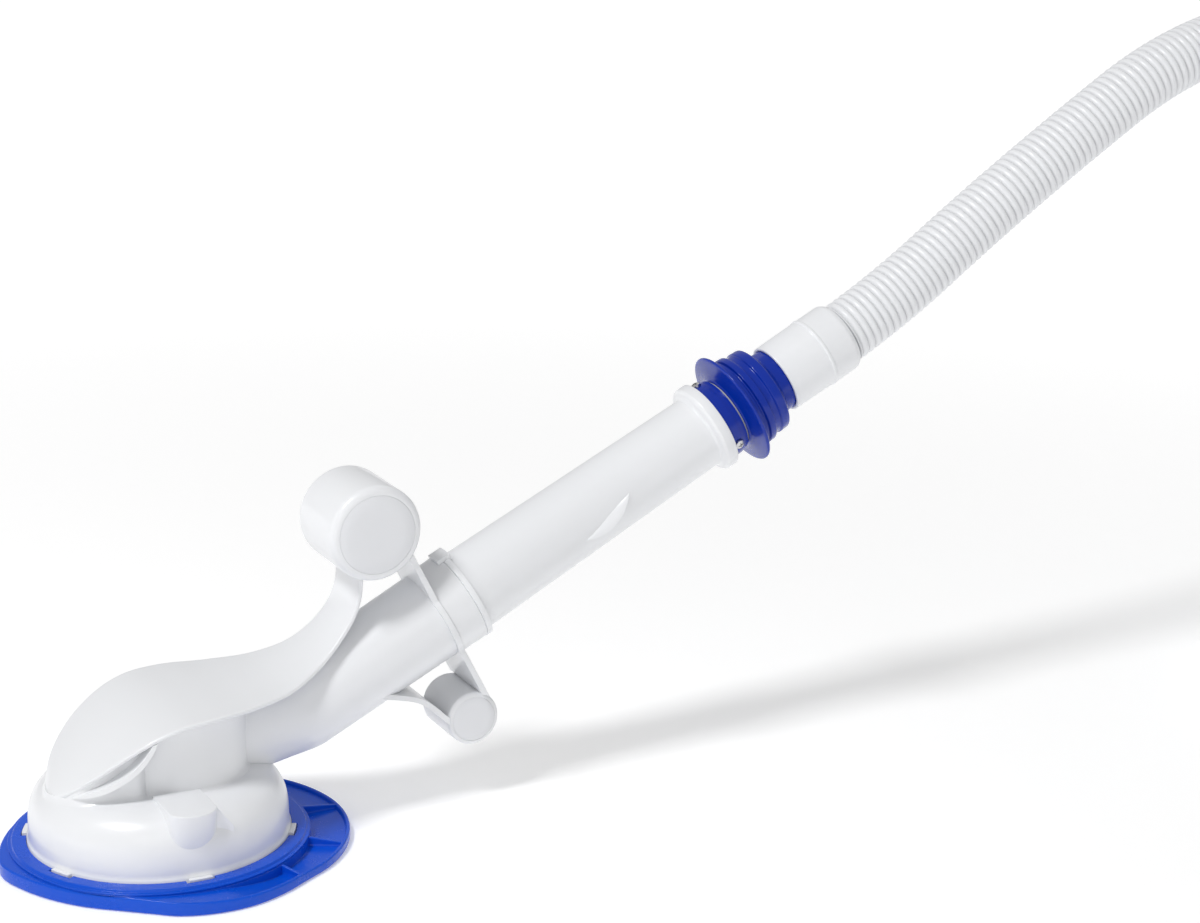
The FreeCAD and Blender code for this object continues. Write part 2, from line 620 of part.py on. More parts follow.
def capsule(radius, half, edge):
    """Short cylinder about Z with rounded ends."""
    body = Part.makeCylinder(radius, 2 * half, V(0, 0, -half))
    rims = [e for e in body.Edges if isinstance(e.Curve, Part.Circle)]
    return body.makeFillet(edge, rims)


def across_at(shape, x, z):
    """Lay a shape built about Z across the object, centred on a point of the XZ plane."""
    laid = crosswise(shape)
    laid.translate(V(x, 0, z))
    return laid


def float_shell():
    """Float's can, open at the front for its cap."""
    body = capsule(FLOAT_R, FLOAT_HALF, FLOAT_EDGE)
    cavity = Part.makeCylinder(FLOAT_R - WALL, 2 * FLOAT_HALF - 3.0 - 5.0, V(0, 0, -FLOAT_HALF + 3.0))
    mouth = Part.makeCylinder(FLOAT_R - FLOAT_EDGE, 10, V(0, 0, FLOAT_HALF - 5.0))
    return across_at(body.cut(cavity).cut(mouth), FLOAT_X, FLOAT_Z)


def float_cap():
    """Round lid of the float."""
    lid = Part.makeCylinder(FLOAT_R - FLOAT_EDGE - 0.05, 5.0, V(0, 0, FLOAT_HALF - 5.0))
    return across_at(lid, FLOAT_X, FLOAT_Z)


def float_core():
    """Closed-cell foam inside the float."""
    core = Part.makeCylinder(FLOAT_R - WALL - 0.1, 2 * FLOAT_HALF - 8.2, V(0, 0, -FLOAT_HALF + 3.1))
    return across_at(core, FLOAT_X, FLOAT_Z)


def weight_shell():
    """Weight's can, open at the front for its cap."""
    body = capsule(WEIGHT_R, WEIGHT_HALF, WEIGHT_EDGE)
    cavity = Part.makeCylinder(WEIGHT_R - 2.0, 2 * WEIGHT_HALF - 5.0, V(0, 0, -WEIGHT_HALF + 2.0))
    mouth = Part.makeCylinder(WEIGHT_R - WEIGHT_EDGE, 10, V(0, 0, WEIGHT_HALF - 3.0))
    return across_at(body.cut(cavity).cut(mouth), WEIGHT_X, WEIGHT_Z)


def weight_cap():
    """Round lid of the weight."""
    lid = Part.makeCylinder(WEIGHT_R - WEIGHT_EDGE - 0.05, 3.0, V(0, 0, WEIGHT_HALF - 3.0))
    return across_at(lid, WEIGHT_X, WEIGHT_Z)


def weight_slug():
    """Metal slug inside the weight."""
    slug = Part.makeCylinder(WEIGHT_R - 2.1, 2 * WEIGHT_HALF - 5.2, V(0, 0, -WEIGHT_HALF + 2.1))
    return across_at(slug, WEIGHT_X, WEIGHT_Z)


# ---------------------------------------------------------------- swivel
def screw_place(shape, angle):
    """Move a screw built about Z, head outwards, to its place round the collar."""
    placed = shape.copy()
    placed.rotate(V(0, 0, 0), V(1, 0, 0), 90)
    placed.rotate(V(0, 0, 0), V(0, 0, 1), angle + SCREW_TILT)
    placed.translate(V(0, 0, SCREW_S))
    return along_tube(placed)


def swivel_collar():
    """Fixed collar, pushed into the tube's end and held by screws."""
    body = turned([(COLLAR_BORE_R, COLLAR_INSERT_S), (COLLAR_INSERT_R, COLLAR_INSERT_S),
                   (COLLAR_INSERT_R, END_FLANGE_S), (COLLAR_R, END_FLANGE_S),
                   (COLLAR_R - 0.5, COLLAR_STEP_S), (COLLAR_STEP_R, COLLAR_STEP_S),
                   (COLLAR_STEP_R - 0.4, COLLAR_END), (COLLAR_BORE_R, COLLAR_END)])
    collar = along_tube(body)
    for angle in SCREW_ANGLES:
        collar = collar.cut(screw_place(Part.makeCylinder(3.3, 10, V(0, 0, COLLAR_R - 1.0)), angle))
        collar = collar.cut(screw_place(Part.makeCylinder(1.52, 12, V(0, 0, COLLAR_BORE_R + 2.4)), angle))
    return collar


def collar_screws():
    """Stainless screws with a domed head and a cross recess."""
    shank = Part.makeCylinder(1.5, 5.0, V(0, 0, COLLAR_BORE_R + 2.5))
    dome = Part.makeSphere(6.0, V(0, 0, COLLAR_R - 4.2))
    head = Part.makeCylinder(3.0, 4.0, V(0, 0, COLLAR_R - 0.9)).common(dome)
    slot = Part.makeBox(3.6, 0.9, 4.0, V(-1.8, -0.45, COLLAR_R + 0.6))
    cross = slot.fuse(Part.makeBox(0.9, 3.6, 4.0, V(-0.45, -1.8, COLLAR_R + 0.6)))
    screw = shank.fuse(head).cut(cross).removeSplitter()
    return Part.makeCompound([screw_place(screw, angle) for angle in SCREW_ANGLES])


def bearing_ring():
    """Thrust washer between the collar and the turning hub."""
    return along_tube(ring(22.4, COLLAR_BORE_R + 0.1, COLLAR_END, HUB_S0 - 0.1))


def swivel_connector():
    """Turning connector: journal, flared disc, stepped rings and hose spigot in one piece."""
    disc_end = DISC_S + DISC_T
    outside = [(JOURNAL_R, JOURNAL_S0), (JOURNAL_R, HUB_S0), (22.9, HUB_S0), (23.6, 420.0), (26.0, 421.0),
               (30.0, 421.9), (35.8, DISC_S - 0.1), (DISC_R, DISC_S + 0.5), (DISC_R, disc_end - 0.5),
               (DISC_R - 0.6, disc_end), (31.4, disc_end + 0.2), (30.2, disc_end + 1.6), (30.4, 428.6),
               (28.2, 429.4), (28.2, 430.6), (30.0, 431.2), (29.8, 435.2), (29.0, 436.0), (27.4, 436.4),
               (27.4, 440.2), (28.6, 441.0), (28.3, 446.4), (27.4, 447.2), (24.4, 448.0), (22.0, 449.6),
               (20.6, SPIGOT_S), (SPIGOT_R + 0.2, CUFF_MOUTH_S - 0.2), (SPIGOT_R, CUFF_MOUTH_S),
               (SPIGOT_R - 0.4, SPIGOT_END)]
    bore = [(FLOW_R + 1.0, SPIGOT_END), (FLOW_R, JOURNAL_S0)]
    return along_tube(turned(outside + bore))


def retaining_clip():
    """Snap ring on the journal's inner end."""
    return along_tube(ring(19.7, JOURNAL_R, JOURNAL_S0 + 0.8, COLLAR_INSERT_S - 0.3))


# ---------------------------------------------------------------- hose
def cuff_profile():
    """(radius, distance from the mouth) outline of a hose cuff; the hose fills its far end."""
    seam = CUFF_SEAM_S - CUFF_MOUTH_S
    length = CUFF_END_S - CUFF_MOUTH_S
    return [(CUFF_BORE_R, 0.0), (CUFF_R - 0.4, 0.0), (CUFF_R, 0.6), (CUFF_R + 0.3, seam),
            (CUFF_COLLAR_R, seam + 0.6), (CUFF_COLLAR_R, seam + 1.6), (CUFF_R + 0.6, seam + 2.2),
            (CUFF_R + 0.5, length - 3.0), (CUFF_R - 0.2, length - 1.0), (CUFF_R - 1.2, length),
            (HOSE_BORE_R, length), (HOSE_BORE_R, length - CUFF_GRIP), (CUFF_BORE_R, length - CUFF_GRIP - 2.0)]


def hose_cuff():
    """Cuff that joins the hose to the spigot."""
    return along_tube(turned([(r, CUFF_MOUTH_S + d) for r, d in cuff_profile()]))


def route_path(points):
    """Straight runs joined by tangent arcs through a route, with the arcs' radii."""
    path = [V(*p) for p in points]
    edges = []
    radii = []
    start = path[0]
    for i in range(1, len(path) - 1):
        before = path[i - 1] - path[i]
        after = path[i + 1] - path[i]
        turn = math.pi - before.getAngle(after)
        reach = 0.45 * min(before.Length, after.Length)
        radii.append(reach / math.tan(turn / 2))
        a = path[i] + before.normalize() * reach
        b = path[i] + after.normalize() * reach
        towards = ((a - path[i]) + (b - path[i])).normalize()
        centre = path[i] + towards * (radii[-1] / math.cos(turn / 2))
        middle = centre - towards * radii[-1]
        edges.append(Part.makeLine(start, a))
        edges.append(Part.Arc(a, middle, b).toShape())
        start = b
    edges.append(Part.makeLine(start, path[-1]))
    return Part.Wire(edges), radii


def hose_tube():
    """The hose from its cuff, up, over and down to the coil."""
    wire, radii = route_path(HOSE_ROUTE)
    first = (V(*HOSE_ROUTE[1]) - V(*HOSE_ROUTE[0])).normalize()
    section = Part.Wire([Part.Circle(V(*HOSE_ROUTE[0]), first, HOSE_R).toShape()])
    tube = wire.makePipeShell([section], True, True)
    expected = math.pi * HOSE_R ** 2 * wire.Length
    print("hose arcs, radius in diameters:", [round(r / (2 * HOSE_R), 1) for r in radii])
    print("hose tube length %.0f, volume / (section x length) = %.4f" % (wire.Length, tube.Volume / expected))
    return tube


def hose_coil():
    """Outer shape of the coil, open where the hose runs in and where its end cuff lies."""
    half = 2 * HOSE_R
    inner, outer, top = COIL_MID_R - half, COIL_MID_R + half, 2 * half
    coil = turned([(inner + COIL_EDGE, 0), (outer - COIL_EDGE, 0), (outer, COIL_EDGE),
                   (outer, top - COIL_EDGE), (outer - COIL_EDGE, top), (inner + COIL_EDGE, top),
                   (inner, top - COIL_EDGE), (inner, COIL_EDGE)])
    landing = polygon([V(COIL_MID_R, 0, -1), V(outer + 1, 0, -1), V(outer + 1, 0, half),
                       V(COIL_MID_R, 0, half)])
    coil = coil.cut(landing.revolve(V(0, 0, 0), V(0, 0, 1), LANDING_DEG))
    coil.translate(V(COIL_X, COIL_Y, 0))
    return coil.cut(hose_tube()).cut(end_cuff_room())


def end_cuff_frame():
    """Where the hose runs into its end cuff, and the direction: level, leaving the outer top turn."""
    a = math.radians(END_CUFF_DEG)
    direction = V(math.sin(a), -math.cos(a), 0)
    radius = COIL_MID_R + HOSE_R
    turn_end = V(COIL_X + radius * math.cos(a), COIL_Y + radius * math.sin(a), 2 * HOSE_R + CUFF_COLLAR_R)
    return turn_end + direction * END_CUFF_LEAD, direction


def end_cuff_room():
    """Space that the end cuff takes from the coil."""
    point, direction = end_cuff_frame()
    room = ring(CUFF_COLLAR_R, 0, 0, END_CUFF_ROOM)
    room.Placement = FreeCAD.Placement(point, FreeCAD.Rotation(V(0, 0, 1), direction))
    return room


def end_cuff():
    """Open cuff at the hose's far end, lying on the coil."""
    point, direction = end_cuff_frame()
    length = CUFF_END_S - CUFF_MOUTH_S
    cuff = turned([(r, length - d) for r, d in cuff_profile()])
    cuff.Placement = FreeCAD.Placement(point, FreeCAD.Rotation(V(0, 0, 1), direction))
    return cuff


# ---------------------------------------------------------------- write
NODES = {
    "skirt_disc": skirt_disc,
    "retaining_ring": retaining_ring,
    "dome_shell": dome_shell,
    "dome_clips": dome_clips,
    "side_lugs": side_lugs,
    "throat_nozzle": throat_nozzle,
    "head_housing": head_housing,
    "shroud": shroud,
    "scoop_near": side_scoop,
    "scoop_far": lambda: mirrored(side_scoop()),
    "valve_frame": valve_frame,
    "valve_pin": valve_pin,
    "valve_bushes": valve_bushes,
    "flapper": flapper,
    "neck_duct": neck_duct,
    "body_tube": body_tube,
    "upper_tube": upper_tube,
    "locking_lug": locking_lug,
    "tube_fins": tube_fins,
    "inner_tube": inner_tube,
    "socket_seal": socket_seal,
    "strap_plate": strap_plate,
    "weight_cradle": weight_cradle,
    "float_shell": float_shell,
    "float_cap": float_cap,
    "float_core": float_core,
    "weight_shell": weight_shell,
    "weight_cap": weight_cap,
    "weight_slug": weight_slug,
    "swivel_collar": swivel_collar,
    "collar_screws": collar_screws,
    "bearing_ring": bearing_ring,
    "swivel_connector": swivel_connector,
    "retaining_clip": retaining_clip,
    "hose_cuff": hose_cuff,
    "hose_tube": hose_tube,
    "hose_coil": hose_coil,
    "end_cuff": end_cuff,
}

os.makedirs("parts", exist_ok=True)
for name, make in NODES.items():
    shape = make()
    if not shape.isValid():
        print("invalid shape:", name)
    solids = shape.Solids
    if len(solids) == 1:
        shape = solids[0]
    print("%-18s solids %d volume %.0f" % (name, len(solids), shape.Volume))
    shape.exportStep("parts/%s.step" % name)
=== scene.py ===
"""Suction pool cleaner: finished surfaces, materials, floor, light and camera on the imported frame."""
import json
import math

import bmesh
import bpy
import numpy as np
from bpy.props import FloatProperty, FloatVectorProperty, IntProperty, PointerProperty
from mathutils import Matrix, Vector


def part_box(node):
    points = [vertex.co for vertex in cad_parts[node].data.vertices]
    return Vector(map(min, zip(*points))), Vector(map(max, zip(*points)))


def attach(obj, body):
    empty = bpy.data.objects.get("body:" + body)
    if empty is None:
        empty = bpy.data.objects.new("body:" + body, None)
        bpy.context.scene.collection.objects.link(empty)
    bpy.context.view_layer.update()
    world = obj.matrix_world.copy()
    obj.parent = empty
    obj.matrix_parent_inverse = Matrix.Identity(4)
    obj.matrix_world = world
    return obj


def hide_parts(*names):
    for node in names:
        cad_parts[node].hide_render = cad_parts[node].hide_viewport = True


bl_info = {
    "name": "Pool Cleaner",
    "version": (1, 0, 0),
    "blender": (4, 5, 0),
    "location": "View3D > Sidebar > Pool Cleaner",
    "description": "Builds a suction pool cleaner with its hose, floor, light and camera",
    "category": "Object",
}

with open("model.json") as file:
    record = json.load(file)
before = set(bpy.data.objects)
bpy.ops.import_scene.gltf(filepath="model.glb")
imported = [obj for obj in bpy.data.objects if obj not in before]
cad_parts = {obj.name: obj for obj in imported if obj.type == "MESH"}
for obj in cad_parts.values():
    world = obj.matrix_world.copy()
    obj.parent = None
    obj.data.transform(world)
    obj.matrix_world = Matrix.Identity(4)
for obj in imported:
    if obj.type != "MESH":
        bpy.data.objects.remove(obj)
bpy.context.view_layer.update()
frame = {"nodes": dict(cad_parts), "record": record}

MM = 0.001
CLEANER, SWIVEL = "cleaner", "swivel"

# the tubes' axis: it rises from the point (0, 0, AXIS_Z0) in the XZ plane
AXIS_DEG = 26.37
AXIS_Z0 = 28.31
AXIS_COS = math.cos(math.radians(AXIS_DEG))
AXIS_SIN = math.sin(math.radians(AXIS_DEG))

# camera: the point it looks at, its turn and rise in degrees, and its distance in metres
CAMERA_TARGET = (0.28789, 0.0, 0.19498)
CAMERA_TURN_DEG, CAMERA_RISE_DEG, CAMERA_DISTANCE = -27.13, 16.70, 1.81365
CAMERA_LENS, CAMERA_SENSOR, CAMERA_CLIP_END = 89.73, 36.0, 50.0

# lights: place, point aimed at, size and power
LIGHTS = {"key": ((-1.0, -0.35, 1.9), (0.2, 0.0, 0.1), (0.42, 0.42), 24.0),
          "front": ((-0.9, -2.2, 1.1), (0.2, 0.0, 0.15), (1.8, 1.4), 5.0),
          "rim": ((1.4, 1.4, 1.6), (0.2, 0.0, 0.15), (1.4, 1.0), 2.0)}
SKY_STRENGTH = 0.44
FLOOR_HALF, FLOOR_Z = 14.0, -0.0004
# painted light: the floor glows, from the first grey near the cleaner to the second far from it, so that the far
# floor stays white
FLOOR_GLOW, FLOOR_GLOW_FROM, FLOOR_GLOW_TO = (0.24, 0.6), 0.4, 2.4

# the hose's route in metres, from its cuff to the coil
HOSE_ROUTE = [(0.4568, 0.0, 0.25465), (0.492, 0.0, 0.2733), (0.556, 0.0, 0.319), (0.624, 0.0, 0.3632),
              (0.700, 0.0, 0.4095), (0.793, 0.012, 0.426), (0.884, 0.034, 0.407), (0.960, 0.062, 0.357),
              (1.015, 0.092, 0.284), (1.061, 0.099, 0.201), (1.104, 0.072, 0.120), (1.139, 0.011, 0.056),
              (1.158, -0.075, 0.0202), (1.158, -0.170, 0.0202)]
COIL_CENTRE = (0.938, -0.170)
# angle turned from the coil's start, radius and height, eased from each row to the next
COIL_STAGES = np.array([(0, 0.220, 0.0202), (190, 0.220, 0.0202), (310, 0.180, 0.0202), (530, 0.180, 0.0202),
                        (595, 0.180, 0.0602), (795, 0.180, 0.0602), (915, 0.220, 0.0602),
                        (1130, 0.220, 0.0602)])
END_CUFF_DEG = -50.0
END_CUFF_LEAD = 0.020
END_CUFF_HEIGHT = 0.0635
COIL_POINTS_PER_TURN = 24
# the hose's rings: points round each, and how far along it they are 8 and then 4 to a ridge; 2 beyond that
HOSE_AROUND = 34
HOSE_FINE_TO, HOSE_MEDIUM_TO = 0.37, 1.10
HOSE_CLEARANCE = 0.0001
HOSE_END_SHARE = 0.8
# cuffs in millimetres: radii, and stations along the tubes' axis of the near one
CUFF_BORE_R, CUFF_R, HOSE_BORE_R = 20.05, 22.4, 16.5
CUFF_MOUTH_S, CUFF_SEAM_S, CUFF_END_S = 457.7, 487.0, 509.0

# outlines in millimetres, as in the CAD model: (radius, height) or (x, z) or (x, half width)
MOUTH_R, RING_R_IN, RING_LIP_R, RING_Z_LOW, SKIRT_FLOOR_T = 60.0, 76.6, 87.3, 8.6, 4.0
SKIRT_RADII = [(0, 112.0), (15, 111.0), (30, 108.6), (43, 105.6), (55, 102.2), (66, 102.6), (80, 103.2),
               (92, 101.2), (103, 97.6), (112, 92.2), (121, 88.9), (138, 88.4), (152, 89.6), (165, 91.8),
               (180, 95.0)]
SKIRT_TOP = [(-130.0, 9.4), (-40.0, 8.6), (62.0, 5.6), (130.0, 5.6)]
TRAY_FLOOR = [(-8.0, 9.0), (46.0, 3.0), (130.0, 3.0)]
RIM_T = 2.4
RIB_ANGLES = (0, 30, 57, -30, -57)
# tray ribs: thickness, low edge, foot's top, height at the ring and at the rim, and rows along one
RIB_T, RIB_Z_LOW, RIB_FOOT_Z, RIB_Z_RING, RIB_Z_RIM, RIB_ROWS = 2.0, 2.0, 4.0, 8.4, 5.2, 12
RIB_SECTION_TOP = 9.0
SKIRT_SEGMENTS = 360
DOME_FOOT = [(76.3, 4.1), (76.3, 12.2), (75.8, 12.9)]
DOME_SHOULDER = [(75.2, 14.0), (75.0, 24.0), (74.6, 29.0), (73.6, 33.4), (71.9, 37.3), (69.5, 40.8),
                 (66.3, 43.8), (62.2, 46.2), (57.4, 47.8), (52.0, 48.7), (46.0, 49.0)]
DOME_INSIDE = [(22.0, 49.0), (22.0, 46.0), (46.0, 46.0), (56.4, 44.8), (64.4, 41.4), (69.0, 36.4),
               (71.6, 29.0), (72.2, 14.0), (72.2, 7.0), (62.0, 7.0), (62.0, 4.1)]
LUG_X, LUG_HALF, LUG_Y_IN, LUG_Z_LOW, LUG_Z_TOP, LUG_EDGE = -3.2, 13.8, 42.0, 22.0, 51.0, 0.9
# how far a lug's sides run straight and its round front reaches, below and above
LUG_LOW_Y, LUG_TOP_Y = (66.0, 72.5), (70.0, 80.8)
RAMP_RUN, RAMP_IN, RAMP_Z, RAMP_Y, RAMP_ROWS = 9.5, 3.0, (50.0, 37.0), 71.0, 8
# shroud: thickness, rim radius, what both gain at the nose, and the height over which that fades
SHROUD_T, SHROUD_RIM, NOSE_MORE_T, NOSE_MORE_RIM, NOSE_Z, NOSE_FADE = 2.6, 1.15, 5.0, 3.4, 46.0, 12.0
SHROUD_LINE = [(-66.2, 38.0), (-64.6, 44.0), (-60.9, 50.5), (-55.2, 57.6), (-41.4, 70.6), (-27.6, 80.4),
               (-13.8, 87.6), (0.0, 91.8), (18.4, 93.6), (46.0, 94.2), (73.6, 97.6), (91.1, 104.6),
               (107.2, 117.4), (117.0, 130.6), (120.8, 142.0), (121.6, 156.0)]
SHROUD_HALF_WIDTH = [(-64.8, 8.6), (-60.9, 18.6), (-55.2, 27.6), (-41.4, 39.6), (-27.6, 45.6), (-13.8, 48.9),
                     (2.0, 50.4), (20.0, 49.8), (46.0, 43.8), (73.6, 34.2), (91.1, 26.2), (107.6, 20.6),
                     (126.0, 17.6)]
SHROUD_NOSE_X = -66.4
HOUSING_HALF_WIDTH = [(-64.4, 8.2), (-60.4, 18.0), (-54.6, 26.6), (-46.0, 31.6), (-34.0, 35.0), (-22.0, 37.6)]
HOUSING_NOSE_X = -66.0
DRUM_X, DRUM_R, DRUM_JOIN_DEG = 8.6, 44.0, 128.0
HOUSING_T, HOUSING_FILLET, HOUSING_SINK = 3.0, 3.2, 2.0
NECK = [(42.0, 64.0, 0.0, 27.0, 20.5), (55.0, 64.8, 8.0, 26.4, 21.6), (71.0, 67.6, 18.0, 26.0, 23.9)]
BODY_TUBE = [(98.0, 26.7), (108.0, 26.9), (150.0, 27.25), (192.0, 27.6)]
TUBE_WALL = 2.5
SOCKET = [(197.3, 27.6), (197.6, 27.9), (197.6, 28.0), (198.0, 28.4), (215.0, 28.7), (215.6, 28.1),
          (215.6, 25.72), (189.6, 25.72), (189.6, 24.6)]
UPPER_TUBE = [(25.7, 192.0), (25.7, 215.6), (29.0, 215.6), (29.0, 219.4), (25.7, 219.4), (23.2, 396.4),
              (24.4, 397.6), (27.3, 398.4), (28.8, 399.9), (28.8, 406.2), (20.7, 406.2), (23.2, 219.4),
              (23.2, 192.0)]
# float and weight: centre (x, z), then radius, half length and edge radius
FLOAT_AT, FLOAT_SIZE = (130.1, 179.3), (28.7, 26.7, 5.0)
WEIGHT_AT, WEIGHT_SIZE = (192.6, 52.0), (16.5, 20.0, 2.6)
CAN_WALL = 2.2
# lids: depth in the can, step down at the mouth, and hub left open at the axis
LID_DEPTH, LID_STEP, LID_HUB = 3.0, 0.25, 1.0
FIN_UPPER = [(295.0, -5.0), (305.0, -1.8), (316.0, 1.8), (333.0, 5.4)]
FIN_LOWER = [(295.0, -5.6), (305.0, -7.4), (317.5, -4.6), (333.0, 5.0)]
# across a fin: share of the way from its upper edge, how deep it sinks, share of the lift
FIN_SECTION = [(0.0, -0.8, 0.0), (0.12, 0.1, 0.0), (0.5, 0.1, 0.5), (0.9, 0.0, 0.95), (1.0, 0.0, 1.0),
               (1.04, 0.0, 0.9), (1.04, -0.8, 0.0)]
FIN_LIFT = 4.2
UPPER_TUBE_TAPER = ((219.4, 396.4), (25.7, 23.2))
CONNECTOR = [(18.0, 385.6), (18.0, 419.0), (22.9, 419.0), (23.6, 420.0), (26.0, 421.0), (30.0, 421.9),
             (35.8, 422.6), (36.8, 423.2), (36.8, 424.2), (36.2, 424.7), (31.4, 424.9), (30.2, 426.3),
             (30.4, 428.6), (28.2, 429.4), (28.2, 430.6), (30.0, 431.2), (29.8, 435.2), (29.0, 436.0),
             (27.4, 436.4), (27.4, 440.2), (28.6, 441.0), (28.3, 446.4), (27.4, 447.2), (24.4, 448.0),
             (22.0, 449.6), (20.6, 451.0), (20.2, 457.5), (20.0, 457.7), (19.6, 484.0), (16.5, 484.0),
             (15.5, 385.6)]
# corner roundings of the turned pieces, in millimetres
TUBE_ROUND, CONNECTOR_ROUND, CUFF_ROUND = 0.6, 0.45, 0.9
# edges sharper than these angles are shaded as edges
TURNED_SHARP, HEAD_SHARP, HOSE_SHARP = 35.0, 50.0, 75.0

# noise: scale, detail and roughness
PLASTIC_DRIFT, PLASTIC_FLOW, PLASTIC_GRAIN = (9.0, 2.0), (46.0, 4.0, 0.6), (1500.0, 2.0)
HOSE_DRIFT, HOSE_GRAIN, RUBBER_SKIN = (14.0, 3.0), (700.0,), (420.0, 5.0, 0.65)
BRUSHED_LINES, CAST_PITS, FLOOR_TOOTH = (2600.0, 2.0), (300.0, 6.0, 0.7), (60.0, 4.0)
FOAM_CELLS = 420.0
# colours that change over a piece run from the first shade to the second
STEEL_SHADES = (0.56, 0.56, 0.57), (0.74, 0.74, 0.75)
IRON_SHADES = (0.08, 0.08, 0.085), (0.26, 0.26, 0.27)
FOAM_SHADES = (0.62, 0.6, 0.52), (0.86, 0.85, 0.78)
GREY, BLACK = (0.42, 0.43, 0.45), (0.03, 0.03, 0.032)


# ---------------------------------------------------------------- sizes and colours
def length_setting(name, description, default, low, high):
    """A length in metres that the user can change."""
    return FloatProperty(name=name, description=description, default=default, unit="LENGTH",
                         min=low, max=high)


def colour_setting(name, description, default):
    """A colour that the user can change."""
    return FloatVectorProperty(name=name, description=description, default=default, subtype="COLOR",
                               min=0.0, max=1.0)


class CleanerSizes(bpy.types.PropertyGroup):
    """Sizes of the finished surfaces."""
    hose_radius: length_setting("Hose radius", "Outside radius over the hose's ridges", 0.020, 0.01, 0.03)
    hose_pitch: length_setting("Ridge pitch", "Distance from one hose ridge to the next", 0.0051, 0.003, 0.01)
    hose_groove: length_setting("Groove depth", "Depth of the grooves between ridges", 0.0016, 0.0, 0.003)
    edge_round: length_setting("Edge rounding", "Rounding of moulded edges", 0.0006, 0.0, 0.002)
    ring_round: length_setting("Ring rounding", "Rounding of the foot's ring and the collar", 0.0004, 0.0, 0.002)
    hook_round: length_setting("Hook rounding", "Rounding of the dome's hooks", 0.0003, 0.0, 0.001)
    crown: length_setting("Shroud crown", "Rise of the shroud's middle over its edges", 0.0016, 0.0, 0.005)
    segments: IntProperty(name="Segments", description="Segments round each turned piece",
                          default=128, min=24, max=256)


class CleanerColours(bpy.types.PropertyGroup):
    """Colours of the plastics."""
    white: colour_setting("White", "Housing, tubes and hose", (0.83, 0.84, 0.86))
    blue: colour_setting("Foot blue", "Foot and its ring", (0.001, 0.080, 0.62))
    swivel: colour_setting("Swivel blue", "Swivel and its collar", (0.001, 0.026, 0.34))
    cap: colour_setting("Cap", "Lids of the float and weight", (0.79, 0.80, 0.825))
    floor: colour_setting("Floor", "Studio floor", (0.93, 0.93, 0.93))


# ---------------------------------------------------------------- materials
class Term:
    """A socket of a recipe's node tree. Arithmetic on it adds Math nodes."""

    def __init__(self, recipe, socket):
        self.recipe = recipe
        self.socket = socket

    def _math(self, operation, first, second):
        return self.recipe.node("ShaderNodeMath", {"operation": operation}, {0: first, 1: second})

    def __add__(self, other):
        return self._math("ADD", self, other)

    __radd__ = __add__

    def __sub__(self, other):
        return self._math("SUBTRACT", self, other)

    def __rsub__(self, other):
        return self._math("SUBTRACT", other, self)

    def __mul__(self, other):
        return self._math("MULTIPLY", self, other)

    __rmul__ = __mul__


# sockets of a Mix node that mixes colours
MIX_FACTOR, MIX_FIRST, MIX_SECOND, MIX_RESULT = 0, 6, 7, 2
COAT_ROUGHNESS = 0.12


class Recipe:
    """One material: its principled shader and the nodes that feed it."""

    def __init__(self, name, roughness, coat=0.0, metallic=0.0, specular=0.5):
        self.material = bpy.data.materials.new(name)
        self.material.use_nodes = True
        self.tree = self.material.node_tree
        self.shader = self.tree.nodes["Principled BSDF"]
        self.shader.inputs["Roughness"].default_value = roughness
        self.shader.inputs["Coat Weight"].default_value = coat
        self.shader.inputs["Coat Roughness"].default_value = COAT_ROUGHNESS
        self.shader.inputs["Metallic"].default_value = metallic
        self.shader.inputs["Specular IOR Level"].default_value = specular

    def node(self, kind, settings=None, inputs=None, output=0):
        """Add one node: set its properties, then its sockets, and return one of its outputs."""
        made = self.tree.nodes.new(kind)
        for key, value in (settings or {}).items():
            setattr(made, key, value)
        for key, value in (inputs or {}).items():
            self.join(made.inputs[key], value)
        return Term(self, made.outputs[output])

    def join(self, socket, value):
        """Link a term to a socket, or set the socket's own value."""
        if isinstance(value, Term):
            self.tree.links.new(value.socket, socket)
        else:
            socket.default_value = value

    def feed(self, name, value):
        """Give one of the principled shader's sockets its value."""
        self.join(self.shader.inputs[name], value)

    def place(self):
        """Position on the piece, in metres."""
        return self.node("ShaderNodeTexCoord", output="Object")

    def noise(self, scale, detail=3.0, rough=0.5):
        """Noise over the piece's own metres."""
        sockets = {"Vector": self.place(), "Scale": scale, "Detail": detail, "Roughness": rough}
        return self.node("ShaderNodeTexNoise", {"noise_dimensions": "3D"}, sockets, "Fac")

    def tint(self, factor, first, second):
        """Mix two colours by a factor."""
        colours = {MIX_FIRST: (*first, 1.0), MIX_SECOND: (*second, 1.0)}
        return self.node("ShaderNodeMix", {"data_type": "RGBA"}, {MIX_FACTOR: factor, **colours}, MIX_RESULT)

    def bump(self, height, distance, strength=1.0):
        """Normal from a height."""
        return self.node("ShaderNodeBump", {}, {"Height": height, "Distance": distance, "Strength": strength})


def scaled(colour, factor):
    """A colour with each channel multiplied, kept within range."""
    return tuple(min(1.0, channel * factor) for channel in colour)


